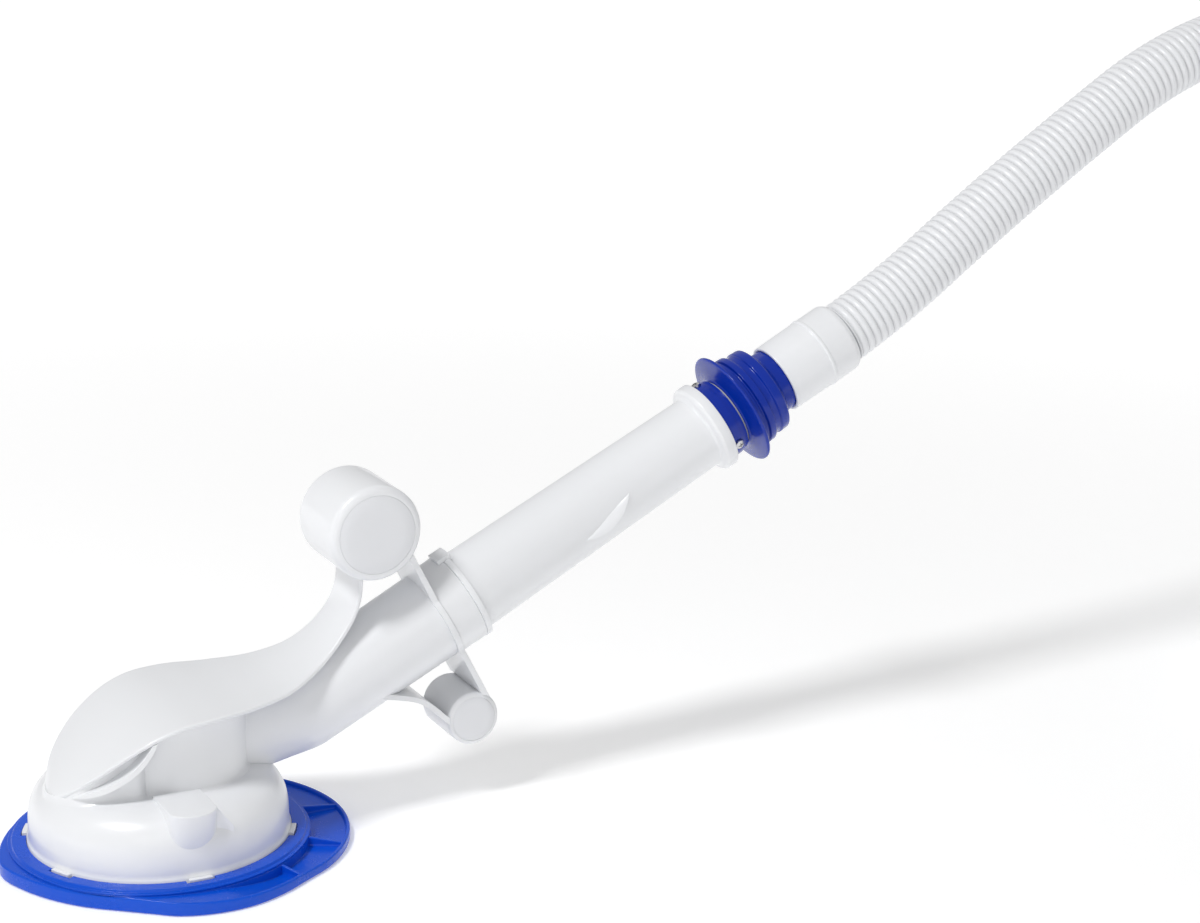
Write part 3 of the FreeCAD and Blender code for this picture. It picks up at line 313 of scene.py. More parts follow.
def plastic(name, colour, roughness=0.3, coat=0.25, grain=0.00002, sway=0.03, specular=0.5):
    """Moulded plastic: a slow drift of shade and gloss, flow marks and a fine tool texture."""
    recipe = Recipe(name, roughness, coat, specular=specular)
    drift = recipe.noise(*PLASTIC_DRIFT)
    flow = recipe.noise(*PLASTIC_FLOW)
    fine = recipe.noise(*PLASTIC_GRAIN)
    recipe.feed("Base Color", recipe.tint(drift, scaled(colour, 1.0 - sway), scaled(colour, 1.0 + sway)))
    recipe.feed("Roughness", roughness - 0.05 + flow * 0.08 + fine * 0.03)
    recipe.feed("Normal", recipe.bump(fine * 0.6 + flow * 0.4, grain, 0.6))
    return recipe.material


def hose_plastic(name, colour):
    """Blow-moulded hose: grooves a little duller than ridges, and painted shade that makes the grooves a little
    darker.
    """
    recipe = Recipe(name, 0.32, 0.2)
    crest = recipe.node("ShaderNodeAttribute", {"attribute_name": "crest"}, output="Fac")
    drift = recipe.noise(*HOSE_DRIFT)
    # painted shade: the grooves' colour is darker than the ridges'
    recipe.feed("Base Color", recipe.tint(crest, scaled(colour, 0.86), scaled(colour, 1.02)))
    recipe.feed("Roughness", 0.44 - crest * 0.16 + drift * 0.06)
    recipe.feed("Normal", recipe.bump(recipe.noise(*HOSE_GRAIN), 0.00002, 0.5))
    return recipe.material


def rubber(name, colour):
    """Matt rubber with a fine uneven skin."""
    recipe = Recipe(name, 0.62)
    skin = recipe.noise(*RUBBER_SKIN)
    recipe.feed("Base Color", recipe.tint(skin, scaled(colour, 0.7), scaled(colour, 1.5)))
    recipe.feed("Roughness", 0.5 + skin * 0.25)
    recipe.feed("Normal", recipe.bump(skin, 0.00006))
    return recipe.material


def turned_steel(name):
    """Stainless steel with fine brushed lines."""
    recipe = Recipe(name, 0.25, metallic=1.0)
    lines = recipe.noise(*BRUSHED_LINES)
    recipe.feed("Base Color", recipe.tint(lines, *STEEL_SHADES))
    recipe.feed("Roughness", 0.2 + lines * 0.18)
    return recipe.material


def cast(name):
    """Cast iron of the ballast."""
    recipe = Recipe(name, 0.7, metallic=0.8)
    pits = recipe.noise(*CAST_PITS)
    recipe.feed("Base Color", recipe.tint(pits, *IRON_SHADES))
    recipe.feed("Normal", recipe.bump(pits, 0.0003))
    return recipe.material


def foam(name):
    """Closed-cell foam of the float."""
    recipe = Recipe(name, 0.85)
    sockets = {"Vector": recipe.place(), "Scale": FOAM_CELLS}
    cells = recipe.node("ShaderNodeTexVoronoi", {}, sockets, "Distance")
    recipe.feed("Base Color", recipe.tint(cells, *FOAM_SHADES))
    recipe.feed("Normal", recipe.bump(cells, 0.0004))
    return recipe.material


def floor_paint(name, colour):
    """Matt studio floor with a barely visible tooth, and painted light: a glow that grows away from the cleaner.
    """
    recipe = Recipe(name, 0.9, specular=0.1)
    tooth = recipe.noise(*FLOOR_TOOTH)
    recipe.feed("Base Color", recipe.tint(tooth, scaled(colour, 0.995), scaled(colour, 1.005)))
    recipe.feed("Roughness", 0.86 + tooth * 0.08)
    # painted light: emission that grows with the distance from the cleaner
    reach = recipe.node("ShaderNodeVectorMath", {"operation": "LENGTH"}, {0: recipe.place()}, "Value")
    glow = recipe.node("ShaderNodeMapRange", {"interpolation_type": "SMOOTHSTEP"},
                       {"Value": reach, "From Min": FLOOR_GLOW_FROM, "From Max": FLOOR_GLOW_TO,
                        "To Min": 0.0, "To Max": 1.0})
    near, far = ((grey,) * 3 for grey in FLOOR_GLOW)
    recipe.feed("Emission Color", recipe.tint(glow, near, far))
    recipe.feed("Emission Strength", 1.0)
    return recipe.material


MATERIALS = {}


def make_materials(colours):
    """All finishes, by the record's slot names."""
    white, blue, swivel, cap = (tuple(getattr(colours, key)) for key in ("white", "blue", "swivel", "cap"))
    MATERIALS.update({
        "white_plastic": plastic("white_plastic", white, 0.3, 0.3),
        "blue_plastic": plastic("blue_plastic", swivel, 0.2, 0.15, sway=0.06, specular=0.3),
        "blue_skirt": plastic("blue_skirt", blue, 0.26, 0.1, grain=0.00004, sway=0.08, specular=0.25),
        "cap_plastic": plastic("cap_plastic", cap, 0.36, 0.1),
        "grey_plastic": plastic("grey_plastic", GREY, 0.42, 0.0),
        "hose_plastic": hose_plastic("hose_plastic", white),
        "black_rubber": rubber("black_rubber", BLACK),
        "stainless_steel": turned_steel("stainless_steel"),
        "iron": cast("iron"),
        "foam": foam("foam"),
    })


# ---------------------------------------------------------------- surfaces
def eased(share):
    """Smooth step: 3 t^2 - 2 t^3."""
    share = np.clip(share, 0.0, 1.0)
    return share * share * (3.0 - 2.0 * share)


def arc_lengths(line):
    """Length along a polyline up to each of its points."""
    return np.concatenate([[0.0], np.cumsum(np.linalg.norm(np.diff(line, axis=0), axis=1))])


def flowing(points, count):
    """Smooth line through points, spread evenly by length.

    Each stretch is a cubic whose end slopes are those of the chords between the neighbouring points.
    """
    points = np.asarray(points, float)
    run = arc_lengths(points)
    slope = np.gradient(points, run, axis=0)
    at = np.linspace(0.0, run[-1], count)
    left = np.clip(np.searchsorted(run, at, side="right") - 1, 0, len(run) - 2)
    span = (run[left + 1] - run[left])[:, None]
    t = (at[:, None] - run[left][:, None]) / span
    return ((2 * t ** 3 - 3 * t ** 2 + 1) * points[left] + (t ** 3 - 2 * t ** 2 + t) * span * slope[left]
            + (3 * t ** 2 - 2 * t ** 3) * points[left + 1] + (t ** 3 - t ** 2) * span * slope[left + 1])


def rounded(outline, radius, steps=4):
    """Closed outline with each corner replaced by a parabola that touches both its edges."""
    outline = np.asarray(outline, float)
    before = np.roll(outline, 1, axis=0) - outline
    after = np.roll(outline, -1, axis=0) - outline
    near = np.linalg.norm(before, axis=-1, keepdims=True) + 1e-9
    far = np.linalg.norm(after, axis=-1, keepdims=True) + 1e-9
    reach = np.minimum(radius, 0.45 * np.minimum(near, far))
    start = (outline + before / near * reach)[:, None]
    end = (outline + after / far * reach)[:, None]
    t = np.linspace(0.0, 1.0, steps).reshape((1, steps) + (1,) * (outline.ndim - 1))
    curve = (1 - t) ** 2 * start + 2 * t * (1 - t) * outline[:, None] + t ** 2 * end
    return curve.reshape((-1,) + outline.shape[1:])


def turned(profile, segments):
    """Grid of a (radius, height) outline carried round Z: x = r cos a, y = r sin a, z = height."""
    angle = np.linspace(0.0, 2 * np.pi, segments, endpoint=False)
    radius, height = profile[:, 0][:, None], profile[:, 1][:, None]
    return np.stack([radius * np.cos(angle), radius * np.sin(angle), height + 0 * angle], axis=-1)


def along_tube(points):
    """Turn points about Y so that Z becomes the tubes' axis and X its lower side."""
    x, y, z = np.moveaxis(points, -1, 0)
    return np.stack([x * AXIS_SIN + z * AXIS_COS, y, -x * AXIS_COS + z * AXIS_SIN + AXIS_Z0], axis=-1)


def across(points, x0, z0):
    """Lay points built about Z across the object: Z points to -Y, centred on a point of the XZ plane."""
    x, y, z = np.moveaxis(points, -1, 0)
    return np.stack([x + x0, -z, y + z0], axis=-1)


def grid_faces(rows, columns, wrap_rows, wrap_columns):
    """Quads between neighbours of a grid of points, row by row."""
    row = np.arange(rows if wrap_rows else rows - 1)
    column = np.arange(columns if wrap_columns else columns - 1)
    i, j = np.meshgrid(row, column, indexing="ij")
    i1, j1 = (i + 1) % rows, (j + 1) % columns
    quads = np.stack([i * columns + j, i * columns + j1, i1 * columns + j1, i1 * columns + j], axis=-1)
    return quads.reshape(-1, 4)


def outward(points, quads):
    """The quads, flipped if they enclose a negative volume about their middle."""
    flat = points.reshape(-1, 3) - points.reshape(-1, 3).mean(axis=0)
    a, b, c, d = (flat[quads[:, k]] for k in range(4))
    volume = (np.einsum("ij,ij->i", a, np.cross(b, c)) + np.einsum("ij,ij->i", a, np.cross(c, d))).sum()
    return quads if volume > 0 else quads[:, ::-1]


def shell(grid, wrap_rows=True, wrap_columns=True):
    """Points and outward faces of one closed surface; rows that don't wrap are closed by two caps."""
    rows, columns = grid.shape[:2]
    quads = outward(grid, grid_faces(rows, columns, wrap_rows, wrap_columns))
    faces = quads.tolist()
    if not wrap_rows:
        first, last = list(range(columns)), list(range((rows - 1) * columns, rows * columns))
        faces += [first[::-1], last] if quads[0, 1] == 1 else [first, last[::-1]]
    return grid.reshape(-1, 3), faces


def finished(name, mesh, body, slot, replaces, sharp_deg):
    """Shade a mesh, give it its material, and put its object on a body."""
    mesh.shade_smooth()
    mesh.set_sharp_from_angle(angle=math.radians(sharp_deg))
    mesh.validate()
    made = bpy.data.objects.new(name, mesh)
    bpy.context.scene.collection.objects.link(made)
    mesh.materials.clear()
    mesh.materials.append(MATERIALS[slot])
    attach(made, body)
    if replaces:
        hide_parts(*replaces)
    return made


def piece(name, shells, body, slot, replaces=(), sharp_deg=40.0, values=None):
    """Make one piece from closed surfaces in millimetres."""
    points, faces, count = [], [], 0
    for corners, sides in shells:
        points.append(corners)
        faces += [[index + count for index in side] for side in sides]
        count += len(corners)
    mesh = bpy.data.meshes.new(name)
    mesh.from_pydata((np.concatenate(points) * MM).tolist(), [], faces)
    for label, data in (values or {}).items():
        layer = mesh.attributes.new(label, "FLOAT", "POINT")
        layer.data.foreach_set("value", np.asarray(data, np.float32).ravel())
    return finished(name, mesh, body, slot, replaces, sharp_deg)


def softened(name, node, body, slot, width, sharp_deg=30.0):
    """A merged copy of a carried-over part with its edges rounded."""
    mesh = frame["nodes"][node].data.copy()
    work = bmesh.new()
    work.from_mesh(mesh)
    bmesh.ops.remove_doubles(work, verts=work.verts, dist=1e-6)
    bmesh.ops.dissolve_limit(work, angle_limit=math.radians(0.5), verts=work.verts, edges=work.edges)
    work.to_mesh(mesh)
    work.free()
    made = finished(name, mesh, body, slot, (node,), sharp_deg)
    bevel = made.modifiers.new("rounding", "BEVEL")
    bevel.width = width
    bevel.segments = 3
    bevel.limit_method = "ANGLE"
    bevel.angle_limit = math.radians(sharp_deg)
    bevel.harden_normals = True
    return made


# ---------------------------------------------------------------- camera and hose
def camera_place():
    """Camera position and the direction from its target to it, from the turn and the rise."""
    azimuth, elevation = math.radians(CAMERA_TURN_DEG), math.radians(CAMERA_RISE_DEG)
    back = Vector((math.sin(azimuth) * math.cos(elevation), -math.cos(azimuth) * math.cos(elevation),
                   math.sin(elevation)))
    return Vector(CAMERA_TARGET) + back * CAMERA_DISTANCE, back


class CLEANER_OT_camera(bpy.types.Operator):
    """Place the camera"""
    bl_idname = "cleaner.camera"
    bl_label = "Camera"

    def execute(self, context):
        data = bpy.data.cameras.new("camera")
        data.lens = CAMERA_LENS
        data.sensor_width = CAMERA_SENSOR
        data.sensor_fit = "HORIZONTAL"
        data.clip_end = CAMERA_CLIP_END
        camera = bpy.data.objects.new("camera", data)
        place, back = camera_place()
        camera.location = place
        camera.rotation_euler = back.to_track_quat("Z", "Y").to_euler()
        context.scene.collection.objects.link(camera)
        context.scene.camera = camera
        return {"FINISHED"}


def coil_points():
    """Control points of the coil: radius and height eased between its stages, turning clockwise."""
    step = 360.0 / COIL_POINTS_PER_TURN
    turn = np.append(np.arange(step, COIL_STAGES[-1, 0] - step / 2, step), COIL_STAGES[-1, 0])
    left = np.clip(np.searchsorted(COIL_STAGES[:, 0], turn, side="right") - 1, 0, len(COIL_STAGES) - 2)
    start, end = COIL_STAGES[left], COIL_STAGES[left + 1]
    ease = eased((turn - start[:, 0]) / (end[:, 0] - start[:, 0]))
    radius = start[:, 1] + ease * (end[:, 1] - start[:, 1])
    height = start[:, 2] + ease * (end[:, 2] - start[:, 2])
    angle = -np.radians(turn)
    x, y = COIL_CENTRE
    turns = np.stack([x + radius * np.cos(angle), y + radius * np.sin(angle), height], 1)
    lead = turns[-1] + end_cuff_aim() * END_CUFF_LEAD
    lead[2] = END_CUFF_HEIGHT
    return np.vstack([turns, lead])


def end_cuff_aim():
    """Level direction in which the hose runs into its end cuff."""
    angle = math.radians(END_CUFF_DEG)
    return np.array([math.sin(angle), -math.cos(angle), 0.0])


def hose_line():
    """Points along the hose's own NURBS spline, from the cuff to the far end."""
    controls = np.vstack([np.array(HOSE_ROUTE), coil_points()])
    curve = bpy.data.curves.new("hose_line", "CURVE")
    curve.dimensions = "3D"
    curve.resolution_u = 12
    spline = curve.splines.new("NURBS")
    spline.points.add(len(controls) - 1)
    spline.points.foreach_set("co", np.c_[controls, np.ones(len(controls))].ravel())
    spline.order_u = 3
    spline.use_endpoint_u = True
    holder = bpy.data.objects.new("hose_line", curve)
    bpy.context.scene.collection.objects.link(holder)
    bpy.context.view_layer.update()
    mesh = bpy.data.meshes.new_from_object(holder)
    line = np.empty(len(mesh.vertices) * 3)
    mesh.vertices.foreach_get("co", line)
    bpy.data.objects.remove(holder)
    bpy.data.meshes.remove(mesh)
    return line.reshape(-1, 3)


def resampled(line, at):
    """Points of a polyline at given lengths along it."""
    run = arc_lengths(line)
    return np.stack([np.interp(at, run, line[:, k]) for k in range(3)], axis=1)


def ringed(line, at, radius, around):
    """Grid of rings of the given radii round a line: side = direction x Z, up = side x direction."""
    centre = resampled(line, at)
    step = 0.004
    ahead = resampled(line, at + step) - resampled(line, at - step)
    ahead /= np.linalg.norm(ahead, axis=1, keepdims=True)
    side = np.cross(ahead, (0.0, 0.0, 1.0))
    side /= np.linalg.norm(side, axis=1, keepdims=True)
    up = np.cross(side, ahead)
    angle = np.linspace(0.0, 2 * np.pi, around, endpoint=False)[None, :, None]
    ring = np.cos(angle) * side[:, None, :] + np.sin(angle) * up[:, None, :]
    return centre[:, None, :] + radius[:, None, None] * ring


def ridges(length, pitch):
    """Lengths along the hose and the ridge wave there: 1 - (1 - |cos(pi s / pitch)|^0.9)^1.6."""
    fine = np.arange(0.0, HOSE_FINE_TO, pitch / 8)
    medium = np.arange(fine[-1] + pitch / 4, HOSE_MEDIUM_TO, pitch / 4)
    coarse = np.arange(medium[-1] + pitch / 2, length, pitch / 2)
    at = np.concatenate([fine, medium, coarse])
    wave = np.abs(np.cos(np.pi * at / pitch)) ** 0.9
    return at, 1.0 - (1.0 - wave) ** 1.6


class CLEANER_OT_hose(bpy.types.Operator):
    """Build the corrugated hose: rings whose radius follows a rounded wave along its line"""
    bl_idname = "cleaner.hose"
    bl_label = "Hose"

    def execute(self, context):
        sizes = context.scene.cleaner_sizes
        line = hose_line()
        length = float(np.linalg.norm(np.diff(line, axis=0), axis=1).sum())
        at, crest = ridges(length, sizes.hose_pitch)
        radius = sizes.hose_radius - HOSE_CLEARANCE - sizes.hose_groove * (1.0 - crest)
        radius[0] = radius[-1] = sizes.hose_radius * HOSE_END_SHARE
        grid = ringed(line, at, radius, HOSE_AROUND)
        made = piece("hose", [shell(grid / MM, wrap_rows=False)], CLEANER, "hose_plastic",
                     ("hose_tube", "hose_coil"), HOSE_SHARP, {"crest": np.repeat(crest, HOSE_AROUND)})
        cuff = far_cuff(sizes)
        return {"FINISHED"}


def cuff_outline():
    """(radius, distance from the mouth) of a hose cuff, which tapers into the hose."""
    seam, length = CUFF_SEAM_S - CUFF_MOUTH_S, CUFF_END_S - CUFF_MOUTH_S
    return rounded([(CUFF_BORE_R, 0.0), (CUFF_R, 0.0), (CUFF_R + 0.3, seam), (CUFF_R + 1.0, seam + 0.5),
                    (CUFF_R + 1.0, seam + 1.8), (CUFF_R + 0.5, seam + 2.4), (CUFF_R + 0.5, length - 3.0),
                    (CUFF_R - 1.0, length), (HOSE_BORE_R, length), (HOSE_BORE_R, length - 12.0),
                    (CUFF_BORE_R, length - 14.0)], CUFF_ROUND)


def far_cuff(sizes):
    """The cuff on the hose's far end, lying on the coil."""
    low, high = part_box("end_cuff")
    centre = (low + high) / 2 / MM
    ahead = end_cuff_aim()
    side = np.array([-ahead[1], ahead[0], 0.0])
    up = np.array([0.0, 0.0, 1.0])
    outline = cuff_outline()
    length = CUFF_END_S - CUFF_MOUTH_S
    local = turned(np.stack([outline[:, 0], length / 2 - outline[:, 1]], 1), sizes.segments)
    grid = np.array(centre) + local[..., :1] * side + local[..., 1:2] * up + local[..., 2:] * ahead
    return piece("far_cuff", [shell(grid)], CLEANER, "hose_plastic", ("end_cuff",),
                 values={"crest": np.ones(grid.shape[0] * grid.shape[1])})


# ---------------------------------------------------------------- foot and dome
def skirt_grid(segments):
    """The foot's cross-section carried round Z: the rim follows the outline and falls towards the tube."""
    degrees, radii = np.array(SKIRT_RADII).T
    knots = np.hstack([(degrees - 360.0, radii), (-degrees[-2:0:-1], radii[-2:0:-1]), (degrees, radii),
                       (360.0 - degrees[-2::-1], radii[-2::-1])]).T
    angle = np.linspace(-180.0, 180.0, segments, endpoint=False)
    smooth = flowing(knots, 2000)
    outer = np.interp(angle, smooth[:, 0], smooth[:, 1])
    turn = np.radians(angle)
    x = outer * np.cos(turn)
    top = np.minimum(RING_Z_LOW, np.interp(x, *np.array(SKIRT_TOP).T))
    tray = np.minimum(top, np.interp(x, *np.array(TRAY_FLOOR).T))
    rim = np.maximum(outer - RIM_T, RING_LIP_R + 0.6)
    flat = np.ones(segments)
    mouth, inner, lip = MOUTH_R * flat, RING_R_IN * flat, RING_LIP_R * flat
    slope = tray + 0.3 * (top - tray)
    section = [(mouth, 0 * flat), (outer - 0.6, 0 * flat), (outer, 0.8 * flat), (outer, top - 0.7),
               (outer - 0.7, top), (rim + 0.3, top), (rim - 0.3, slope), (rim - 0.5, tray),
               (RING_LIP_R + 0.2 * flat, tray), (lip, tray + 0.2), (lip, RING_Z_LOW * flat),
               (inner, RING_Z_LOW * flat), (inner, SKIRT_FLOOR_T * flat), (mouth, SKIRT_FLOOR_T * flat)]
    profile = rounded(np.moveaxis(np.array(section), 1, 2), 0.5, 3)
    radius, height = profile[..., 0], profile[..., 1]
    return np.stack([radius * np.cos(turn), radius * np.sin(turn), height], axis=-1)


def rib_grid(degrees):
    """Upright rib of the tray: a rounded section across it, shrinking from the ring out to the rim."""
    radii = dict(SKIRT_RADII)
    nearest = min(radii, key=lambda key: abs(key - abs(degrees)))
    reach = np.linspace(RING_LIP_R - 0.5, radii[nearest] - 1.2, RIB_ROWS)
    top = np.linspace(RIB_Z_RING, RIB_Z_RIM, RIB_ROWS)[:, None]
    half, fillet_z = RIB_T / 2, RIB_FOOT_Z - 0.8
    section = rounded([(-half - 0.5, RIB_Z_LOW), (half + 0.5, RIB_Z_LOW), (half + 0.4, fillet_z),
                       (half, RIB_FOOT_Z), (half, RIB_SECTION_TOP), (-half, RIB_SECTION_TOP),
                       (-half, RIB_FOOT_Z), (-half - 0.4, fillet_z)], 0.5)
    height = section[None, :, 1]
    rise = np.where(height > RIB_FOOT_Z + 0.5, top + height - RIB_SECTION_TOP, np.minimum(height, top))
    side = section[None, :, 0] + 0 * rise
    turn = math.radians(degrees)
    out = reach[:, None] + 0 * rise
    x = out * math.cos(turn) - side * math.sin(turn)
    y = out * math.sin(turn) + side * math.cos(turn)
    return np.stack([x, y, rise], axis=-1)


def dome_height(radius):
    """Height of the dome's outside at a radius; flat inside its shoulder."""
    shoulder = flowing(DOME_SHOULDER, 200)[::-1]
    return np.interp(radius, shoulder[:, 0], shoulder[:, 1])


def stacked(low, high, z_low, z_high, edge, side):
    """Rows from a low outline to a high one, whose last rows draw in by a quarter circle at the top edge."""
    turn = np.linspace(0.0, np.pi / 2, 6)
    heights = np.concatenate([[z_low], z_high - edge + edge * np.sin(turn)])
    share = ((heights - z_low) / (z_high - z_low))[:, None, None]
    rows = low + share * (high - low)
    middle = rows.mean(axis=1, keepdims=True)
    inset = np.concatenate([[0.0], edge * (1.0 - np.cos(turn))])[:, None, None]
    away = rows - middle
    rows = middle + away * (1.0 - inset / np.linalg.norm(away, axis=-1, keepdims=True))
    return np.stack([rows[..., 0], side * rows[..., 1], heights[:, None] + 0 * rows[..., 0]], axis=-1)


def lug_grid(side):
    """Lug on the dome's flank: straight sides and a half-ellipse front, leaning in towards its foot."""
    turn = np.linspace(-np.pi / 2, np.pi / 2, 33)
    outlines = []
    for straight, out in (LUG_LOW_Y, LUG_TOP_Y):
        front = np.stack([LUG_X + LUG_HALF * np.sin(turn), straight + (out - straight) * np.cos(turn)], 1)
        outlines.append(np.vstack([(LUG_X - LUG_HALF, LUG_Y_IN), front, (LUG_X + LUG_HALF, LUG_Y_IN)]))
    return stacked(*outlines, LUG_Z_LOW, LUG_Z_TOP, LUG_EDGE, side)


def ramp_grid(side):
    """Ramp behind the lug: a strip across, whose top falls from the lug to the dome."""
    near = LUG_X + LUG_HALF
    across_y = np.linspace(LUG_Y_IN, RAMP_Y, RAMP_ROWS)[:, None]
    start, end = near - RAMP_IN, near + RAMP_RUN
    section = rounded([(start, LUG_Z_LOW), (end, LUG_Z_LOW), (end, RAMP_Z[1]), (near, RAMP_Z[0]),
                       (start, RAMP_Z[0])], 0.8)
    x, z = section[None, :, 0] + 0 * across_y, section[None, :, 1] + 0 * across_y
    return np.stack([x, side * across_y + 0 * x, z], axis=-1)


class CLEANER_OT_foot(bpy.types.Operator):
    """Build the foot, its ring and the dome"""
    bl_idname = "cleaner.foot"
    bl_label = "Foot and dome"

    def execute(self, context):
        sizes = context.scene.cleaner_sizes
        skirt = [shell(skirt_grid(SKIRT_SEGMENTS))]
        skirt += [shell(rib_grid(angle), wrap_rows=False) for angle in RIB_ANGLES]
        piece("foot_disc", skirt, CLEANER, "blue_skirt", ("skirt_disc",), TURNED_SHARP)
        softened("foot_ring", "retaining_ring", CLEANER, "blue_skirt", sizes.ring_round)
        outside = np.vstack([DOME_FOOT, flowing(DOME_SHOULDER, 40)])
        profile = np.vstack([outside, DOME_INSIDE])
        piece("dome", [shell(turned(profile, 2 * sizes.segments))], CLEANER, "white_plastic", ("dome_shell",))
        softened("dome_hooks", "dome_clips", CLEANER, "white_plastic", sizes.hook_round)
        lugs = [shell(make(side), wrap_rows=False) for side in (-1, 1) for make in (lug_grid, ramp_grid)]
        piece("dome_lugs", lugs, CLEANER, "white_plastic", ("side_lugs",))
        return {"FINISHED"}


# ---------------------------------------------------------------- head
def shroud_line(count):
    """Centreline of the shroud's outer face, (x, z), and its outward normal."""
    line = flowing(SHROUD_LINE, count)
    along = np.gradient(line, axis=0)
    along /= np.linalg.norm(along, axis=1, keepdims=True)
    return line, np.stack([-along[:, 1], along[:, 0]], 1)


def shroud_half_width(x):
    """Half width of the shroud in plan: a round nose, then smooth flanks."""
    nose_x, nose_y = SHROUD_HALF_WIDTH[0]
    plan = flowing([(nose_x, -nose_y), (SHROUD_NOSE_X, 0.0)] + SHROUD_HALF_WIDTH, 3000)
    plan = plan[plan[:, 1] >= 0]
    ahead = np.maximum.accumulate(plan[:, 0])
    return np.interp(x, ahead, plan[:, 1])


def shroud_grid(crown, rows=150, top_columns=41):
    """The shroud: at each point of its centreline, a crowned band with rounded rims, across the object.

    The band's upper side rises by crown x (1 - (y / w)^2) in the middle; its rims are quarter circles, which
    grow and reach down at the nose, so that the nose runs into the wall below it.
    """
    line, normal = shroud_line(rows)
    width = np.maximum(shroud_half_width(line[:, 0]), 2.0)[:, None]
    nose = 1.0 - eased((line[:, 1] - NOSE_Z) / NOSE_FADE)[:, None]
    thick = SHROUD_T + NOSE_MORE_T * nose
    radius = np.minimum(SHROUD_RIM + NOSE_MORE_RIM * nose, 0.8 * width)
    t = np.linspace(-1.0, 1.0, top_columns)[None, :]
    quarter = np.linspace(0.0, np.pi / 2, 8)[None, 1:]
    top_y = (width - radius) * t
    top_h = crown * (1.0 - (top_y / width) ** 2)
    edge_h = crown * (1.0 - ((width - radius) / width) ** 2)
    rim_y = width - radius + radius * np.sin(quarter)
    rim_h = edge_h - radius * (1.0 - np.cos(quarter))
    under_y = width - SHROUD_RIM + SHROUD_RIM * np.cos(quarter)
    under_h = -thick + SHROUD_RIM * (1.0 - np.sin(quarter))
    low_y = (width - SHROUD_RIM) * -t[:, 1:-1]
    low_h = -thick + crown * (1.0 - (low_y / width) ** 2)
    across_y = np.hstack([top_y, rim_y, under_y, low_y, -under_y[:, ::-1], -rim_y[:, ::-1]])
    off = np.hstack([top_h, rim_h, under_h, low_h, under_h[:, ::-1], rim_h[:, ::-1]])
    x = line[:, :1] + normal[:, :1] * off
    z = line[:, 1:] + normal[:, 1:] * off
    return np.stack([x, across_y, z], axis=-1)


def housing_plan():
    """Closed plan of the housing's wall: smooth nose walls, then the drum's arc."""
    flank = np.array(HOUSING_HALF_WIDTH)
    join = math.radians(DRUM_JOIN_DEG)
    meet = (DRUM_X + DRUM_R * math.cos(join), DRUM_R * math.sin(join))
    half = np.vstack([flank, meet])
    nose = flowing(np.vstack([half[::-1] * (1, -1), (HOUSING_NOSE_X, 0.0), half]), 160)
    turn = np.linspace(join, -join, 130)[1:-1]
    drum = np.stack([DRUM_X + DRUM_R * np.cos(turn), DRUM_R * np.sin(turn)], 1)
    return np.vstack([nose, drum])


def housing_grid():
    """The housing's wall: its plan carried up from a concave foot on the dome to the shroud's inside."""
    plan = housing_plan()
    along = np.roll(plan, -1, axis=0) - np.roll(plan, 1, axis=0)
    along /= np.linalg.norm(along, axis=1, keepdims=True)
    normal = np.stack([-along[:, 1], along[:, 0]], 1)
    if (normal * (plan - plan.mean(axis=0))).sum() < 0:
        normal = -normal
    line, up = shroud_line(200)
    middle = line - up * SHROUD_T / 2
    top = np.interp(plan[:, 0], middle[:, 0], middle[:, 1])
    turn = np.linspace(0.0, np.pi / 2, 8)[:, None]
    out = HOUSING_FILLET * (1.0 - np.sin(turn))
    foot = plan + normal * out[..., None]
    foot_z = dome_height(np.linalg.norm(foot, axis=-1)) + HOUSING_FILLET * (1.0 - np.cos(turn)) - 0.3
    foot_z[0] -= HOUSING_SINK
    base = foot_z[-1]
    share = np.linspace(0.0, 1.0, 24)[1:, None]
    wall_z = base + share * np.maximum(top - base, 0.0)
    wall = plan + 0 * wall_z[..., None]
    inner = plan - normal * HOUSING_T
    low = dome_height(np.linalg.norm(inner, axis=-1)) - HOUSING_SINK
    outside = np.concatenate([foot, wall])
    heights = np.vstack([foot_z, wall_z, wall_z[-1:], low[None]])
    places = np.concatenate([outside, inner[None], inner[None]])
    return np.concatenate([places, heights[..., None]], axis=-1)


class CLEANER_OT_head(bpy.types.Operator):
    """Build the shroud, the housing below it and the scoops"""
    bl_idname = "cleaner.head"
    bl_label = "Head"

    def execute(self, context):
        sizes = context.scene.cleaner_sizes
        piece("cover", [shell(shroud_grid(sizes.crown / MM), wrap_rows=False)], CLEANER, "white_plastic",
              ("shroud",), HEAD_SHARP)
        piece("housing", [shell(housing_grid())], CLEANER, "white_plastic", ("head_housing",), HEAD_SHARP)
        softened("scoop_lip_near", "scoop_near", CLEANER, "white_plastic", sizes.edge_round)
        softened("scoop_lip_far", "scoop_far", CLEANER, "white_plastic", sizes.edge_round)
        return {"FINISHED"}


# ---------------------------------------------------------------- tubes, float and weight
def round_sections(outline):
    """Rows of (centre x, centre z, tilt in degrees, half height, half width) for (station, radius) rows."""
    station, radius = np.array(outline).T
    tilt = AXIS_DEG + 0 * station
    return np.stack([station * AXIS_COS, AXIS_Z0 + station * AXIS_SIN, tilt, radius, radius], axis=1)


def section_rings(sections, segments):
    """Ellipse rings: up the tilted plane by h cos a and across by w sin a."""
    x, z, tilt, high, wide = np.asarray(sections, float).T[..., None]
    angle = np.linspace(0.0, 2 * np.pi, segments, endpoint=False)[None, :]
    lean = np.radians(tilt)
    lift = high * np.cos(angle)
    return np.stack([x - lift * np.sin(lean), wide * np.sin(angle), z + lift * np.cos(lean)], axis=-1)


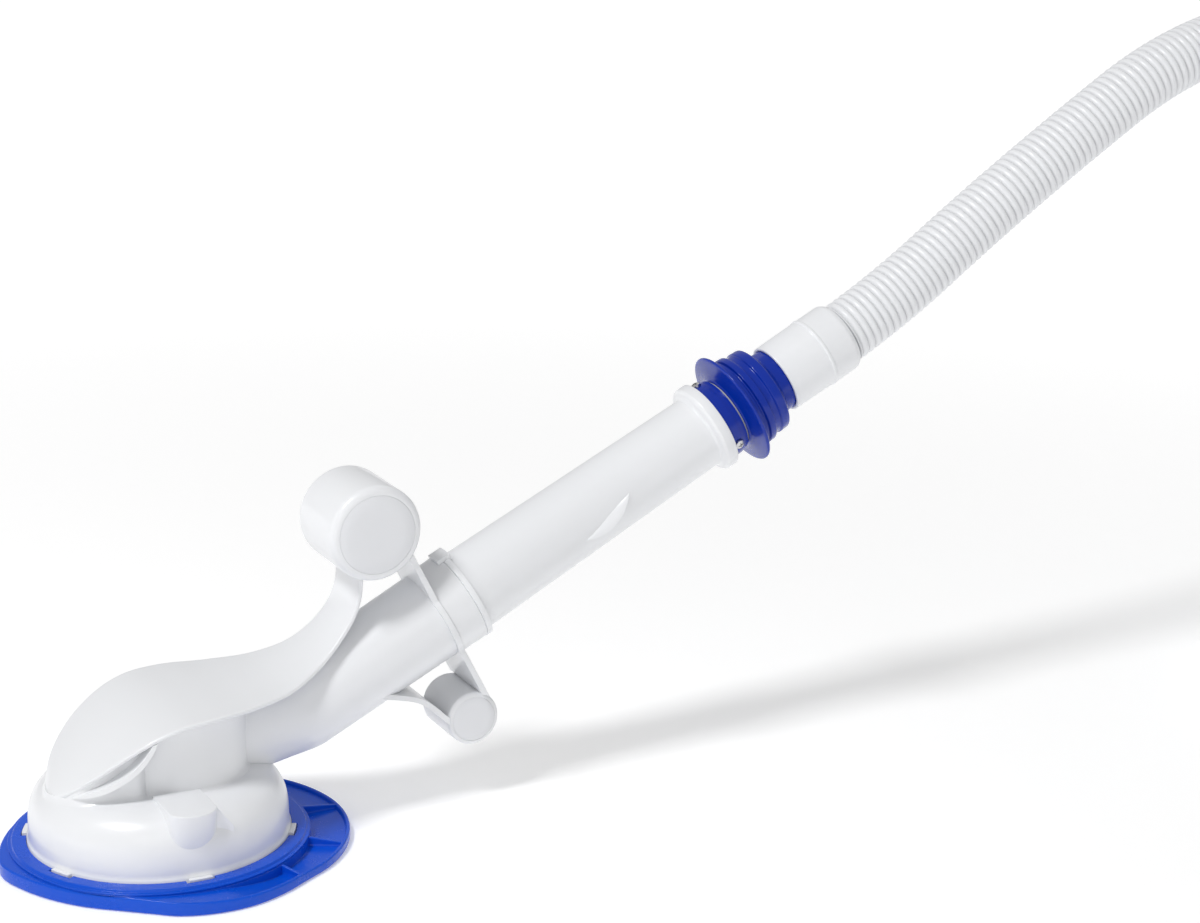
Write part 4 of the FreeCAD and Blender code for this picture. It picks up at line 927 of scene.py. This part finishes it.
def lower_tube_grid(segments):
    """The duct, the tube and its socket outside, and the bore back to the housing inside."""
    outside = flowing(np.vstack([NECK, round_sections(BODY_TUBE)]), 60)
    inside = outside[::-1] - np.array([0, 0, 0, TUBE_WALL, TUBE_WALL])
    grid = section_rings(np.vstack([outside, round_sections(SOCKET), inside[2:]]), segments)
    reach = np.linalg.norm(grid[..., :2], axis=-1)
    floor = np.where(reach < DOME_SHOULDER[0][0], dome_height(reach) - 1.5, -1.0)
    grid[..., 2] = np.maximum(grid[..., 2], floor)
    return grid


def can_outline(radius, half, edge, wall):
    """Can about Z, closed below and open above: rounded ends, and a mouth for the lid."""
    turn = np.linspace(0.0, np.pi / 2, 9)
    low = np.stack([radius - edge + edge * np.sin(turn), -half + edge * (1 - np.cos(turn))], 1)
    high = np.stack([radius - edge + edge * np.cos(turn), half - edge * (1 - np.sin(turn))], 1)
    mouth = radius - edge - 0.05
    inside = [(mouth, half - LID_STEP), (mouth, half - LID_DEPTH), (radius - wall, half - LID_DEPTH - 0.5),
              (radius - wall, wall - half), (3.0, wall - half), (3.0, -half)]
    return np.vstack([low, high, inside])


def lid_outline(radius, half, edge):
    """Lid about Z: a disc with a rounded edge and a slightly raised middle."""
    out = radius - edge - 0.1
    return np.array([(LID_HUB, half - LID_DEPTH), (out, half - LID_DEPTH), (out, half - LID_STEP),
                     (out - 0.05, half - 0.1), (out - 0.2, half), (out * 0.7, half + 0.15),
                     (out * 0.4, half + 0.25), (LID_HUB, half + 0.3)])


def fin_grid(side, rows=28):
    """Crescent on the tube's flank: its upper edge lies on the tube, its lower one stands off by a sine."""
    upper = flowing(FIN_UPPER, rows)
    lower = flowing(FIN_LOWER, rows)
    share = np.linspace(0.0, 1.0, rows)[:, None]
    lift = FIN_LIFT * np.sin(np.pi * share) ** 0.8
    toward, sunk, raised = np.array(FIN_SECTION).T[:, None, :]
    station = upper[:, :1] + toward * (lower[:, :1] - upper[:, :1])
    height = upper[:, 1:] + toward * (lower[:, 1:] - upper[:, 1:])
    radius = np.interp(station, *UPPER_TUBE_TAPER)
    out = np.sqrt(radius ** 2 - height ** 2) + sunk + raised * lift
    return along_tube(np.stack([-height, side * out, station], axis=-1))


class CLEANER_OT_tubes(bpy.types.Operator):
    """Build the two tubes and what is strapped to them"""
    bl_idname = "cleaner.tubes"
    bl_label = "Tubes, float and weight"

    def execute(self, context):
        sizes = context.scene.cleaner_sizes
        fine = sizes.segments
        piece("lower_tube", [shell(lower_tube_grid(fine))], CLEANER, "white_plastic",
              ("neck_duct", "body_tube"), TURNED_SHARP)
        upper = rounded(UPPER_TUBE, TUBE_ROUND)
        piece("extension_tube", [shell(along_tube(turned(upper, fine)))], CLEANER, "white_plastic",
              ("upper_tube",), TURNED_SHARP)
        for name, place, size in (("float", FLOAT_AT, FLOAT_SIZE), ("weight", WEIGHT_AT, WEIGHT_SIZE)):
            can = shell(across(turned(can_outline(*size, CAN_WALL), fine), *place))
            piece(name + "_can", [can], CLEANER, "white_plastic", (name + "_shell",), TURNED_SHARP)
            lid = shell(across(turned(lid_outline(*size), fine), *place), wrap_rows=False)
            piece(name + "_lid", [lid], CLEANER, "cap_plastic", (name + "_cap",), TURNED_SHARP)
        piece("fins", [shell(fin_grid(side), wrap_rows=False) for side in (-1, 1)], CLEANER, "white_plastic",
              ("tube_fins",), HEAD_SHARP)
        straps = {"strap": "strap_plate", "cradle": "weight_cradle", "snap_lug": "locking_lug"}
        for name, node in straps.items():
            softened(name, node, CLEANER, "white_plastic", sizes.edge_round)
        return {"FINISHED"}


class CLEANER_OT_swivel(bpy.types.Operator):
    """Build the swivel and the near hose cuff"""
    bl_idname = "cleaner.swivel"
    bl_label = "Swivel and cuff"

    def execute(self, context):
        sizes = context.scene.cleaner_sizes
        connector = along_tube(turned(rounded(CONNECTOR, CONNECTOR_ROUND), sizes.segments))
        piece("connector", [shell(connector)], SWIVEL, "blue_plastic", ("swivel_connector",), TURNED_SHARP)
        outline = cuff_outline()
        local = turned(np.stack([outline[:, 0], CUFF_MOUTH_S + outline[:, 1]], 1), sizes.segments)
        piece("near_cuff", [shell(along_tube(local))], SWIVEL, "hose_plastic", ("hose_cuff",), TURNED_SHARP,
              {"crest": np.ones(local.shape[0] * local.shape[1])})
        softened("collar", "swivel_collar", CLEANER, "blue_plastic", sizes.ring_round)
        return {"FINISHED"}


# ---------------------------------------------------------------- stage
def area_light(name, place, target, size, power):
    """A soft rectangular light that looks at a point."""
    data = bpy.data.lights.new(name, "AREA")
    data.shape = "RECTANGLE"
    data.size, data.size_y = size
    data.energy = power
    light = bpy.data.objects.new(name, data)
    light.location = place
    light.rotation_euler = (Vector(place) - Vector(target)).to_track_quat("Z", "Y").to_euler()
    bpy.context.scene.collection.objects.link(light)


class CLEANER_OT_stage(bpy.types.Operator):
    """Build the floor and the studio light"""
    bl_idname = "cleaner.stage"
    bl_label = "Floor and light"

    def execute(self, context):
        mesh = bpy.data.meshes.new("floor")
        corners = [(-1, -1, 0), (1, -1, 0), (1, 1, 0), (-1, 1, 0)]
        mesh.from_pydata((FLOOR_HALF * np.array(corners)).tolist(), [], [(0, 1, 2, 3)])
        mesh.materials.append(floor_paint("floor", tuple(context.scene.cleaner_colours.floor)))
        floor = bpy.data.objects.new("floor", mesh)
        floor.location.z = FLOOR_Z
        context.scene.collection.objects.link(floor)
        for name, setting in LIGHTS.items():
            area_light(name, *setting)
        world = bpy.data.worlds.new("studio")
        world.use_nodes = True
        sky = world.node_tree.nodes["Background"]
        sky.inputs["Color"].default_value = (1.0, 1.0, 1.0, 1.0)
        sky.inputs["Strength"].default_value = SKY_STRENGTH
        context.scene.world = world
        context.scene.view_settings.view_transform = "Standard"
        return {"FINISHED"}


# ---------------------------------------------------------------- carried-over parts
class CLEANER_OT_finishes(bpy.types.Operator):
    """Give every carried-over part the material of its slot"""
    bl_idname = "cleaner.finishes"
    bl_label = "Finishes"

    def execute(self, context):
        slots = {part["node"]: part["material_slot"] for part in frame["record"]["subparts"]}
        for name, node in frame["nodes"].items():
            node.data.materials.clear()
            node.data.materials.append(MATERIALS[slots[name]])
        return {"FINISHED"}


class CLEANER_PT_panel(bpy.types.Panel):
    """Sizes, colours and steps of the pool cleaner"""
    bl_label = "Pool Cleaner"
    bl_idname = "CLEANER_PT_panel"
    bl_space_type = "VIEW_3D"
    bl_region_type = "UI"
    bl_category = "Pool Cleaner"

    def draw(self, context):
        layout = self.layout
        for group in (context.scene.cleaner_sizes, context.scene.cleaner_colours):
            for key in group.__annotations__:
                layout.prop(group, key)
        for operator in OPERATORS:
            layout.operator(operator.bl_idname)


OPERATORS = (CLEANER_OT_camera, CLEANER_OT_hose, CLEANER_OT_foot, CLEANER_OT_head, CLEANER_OT_tubes,
             CLEANER_OT_swivel, CLEANER_OT_finishes, CLEANER_OT_stage)
CLASSES = (CleanerSizes, CleanerColours, *OPERATORS, CLEANER_PT_panel)


def register():
    """Register the classes and hang the two groups of settings on the scene."""
    for item in CLASSES:
        bpy.utils.register_class(item)
    bpy.types.Scene.cleaner_sizes = PointerProperty(type=CleanerSizes)
    bpy.types.Scene.cleaner_colours = PointerProperty(type=CleanerColours)


def unregister():
    """Take away what register adds."""
    del bpy.types.Scene.cleaner_colours
    del bpy.types.Scene.cleaner_sizes
    for item in reversed(CLASSES):
        bpy.utils.unregister_class(item)


def main():
    """Register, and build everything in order."""
    register()
    make_materials(bpy.context.scene.cleaner_colours)
    for operator in OPERATORS:
        family, name = operator.bl_idname.split(".")
        getattr(getattr(bpy.ops, family), name)()


if __name__ == "__main__":
    main()
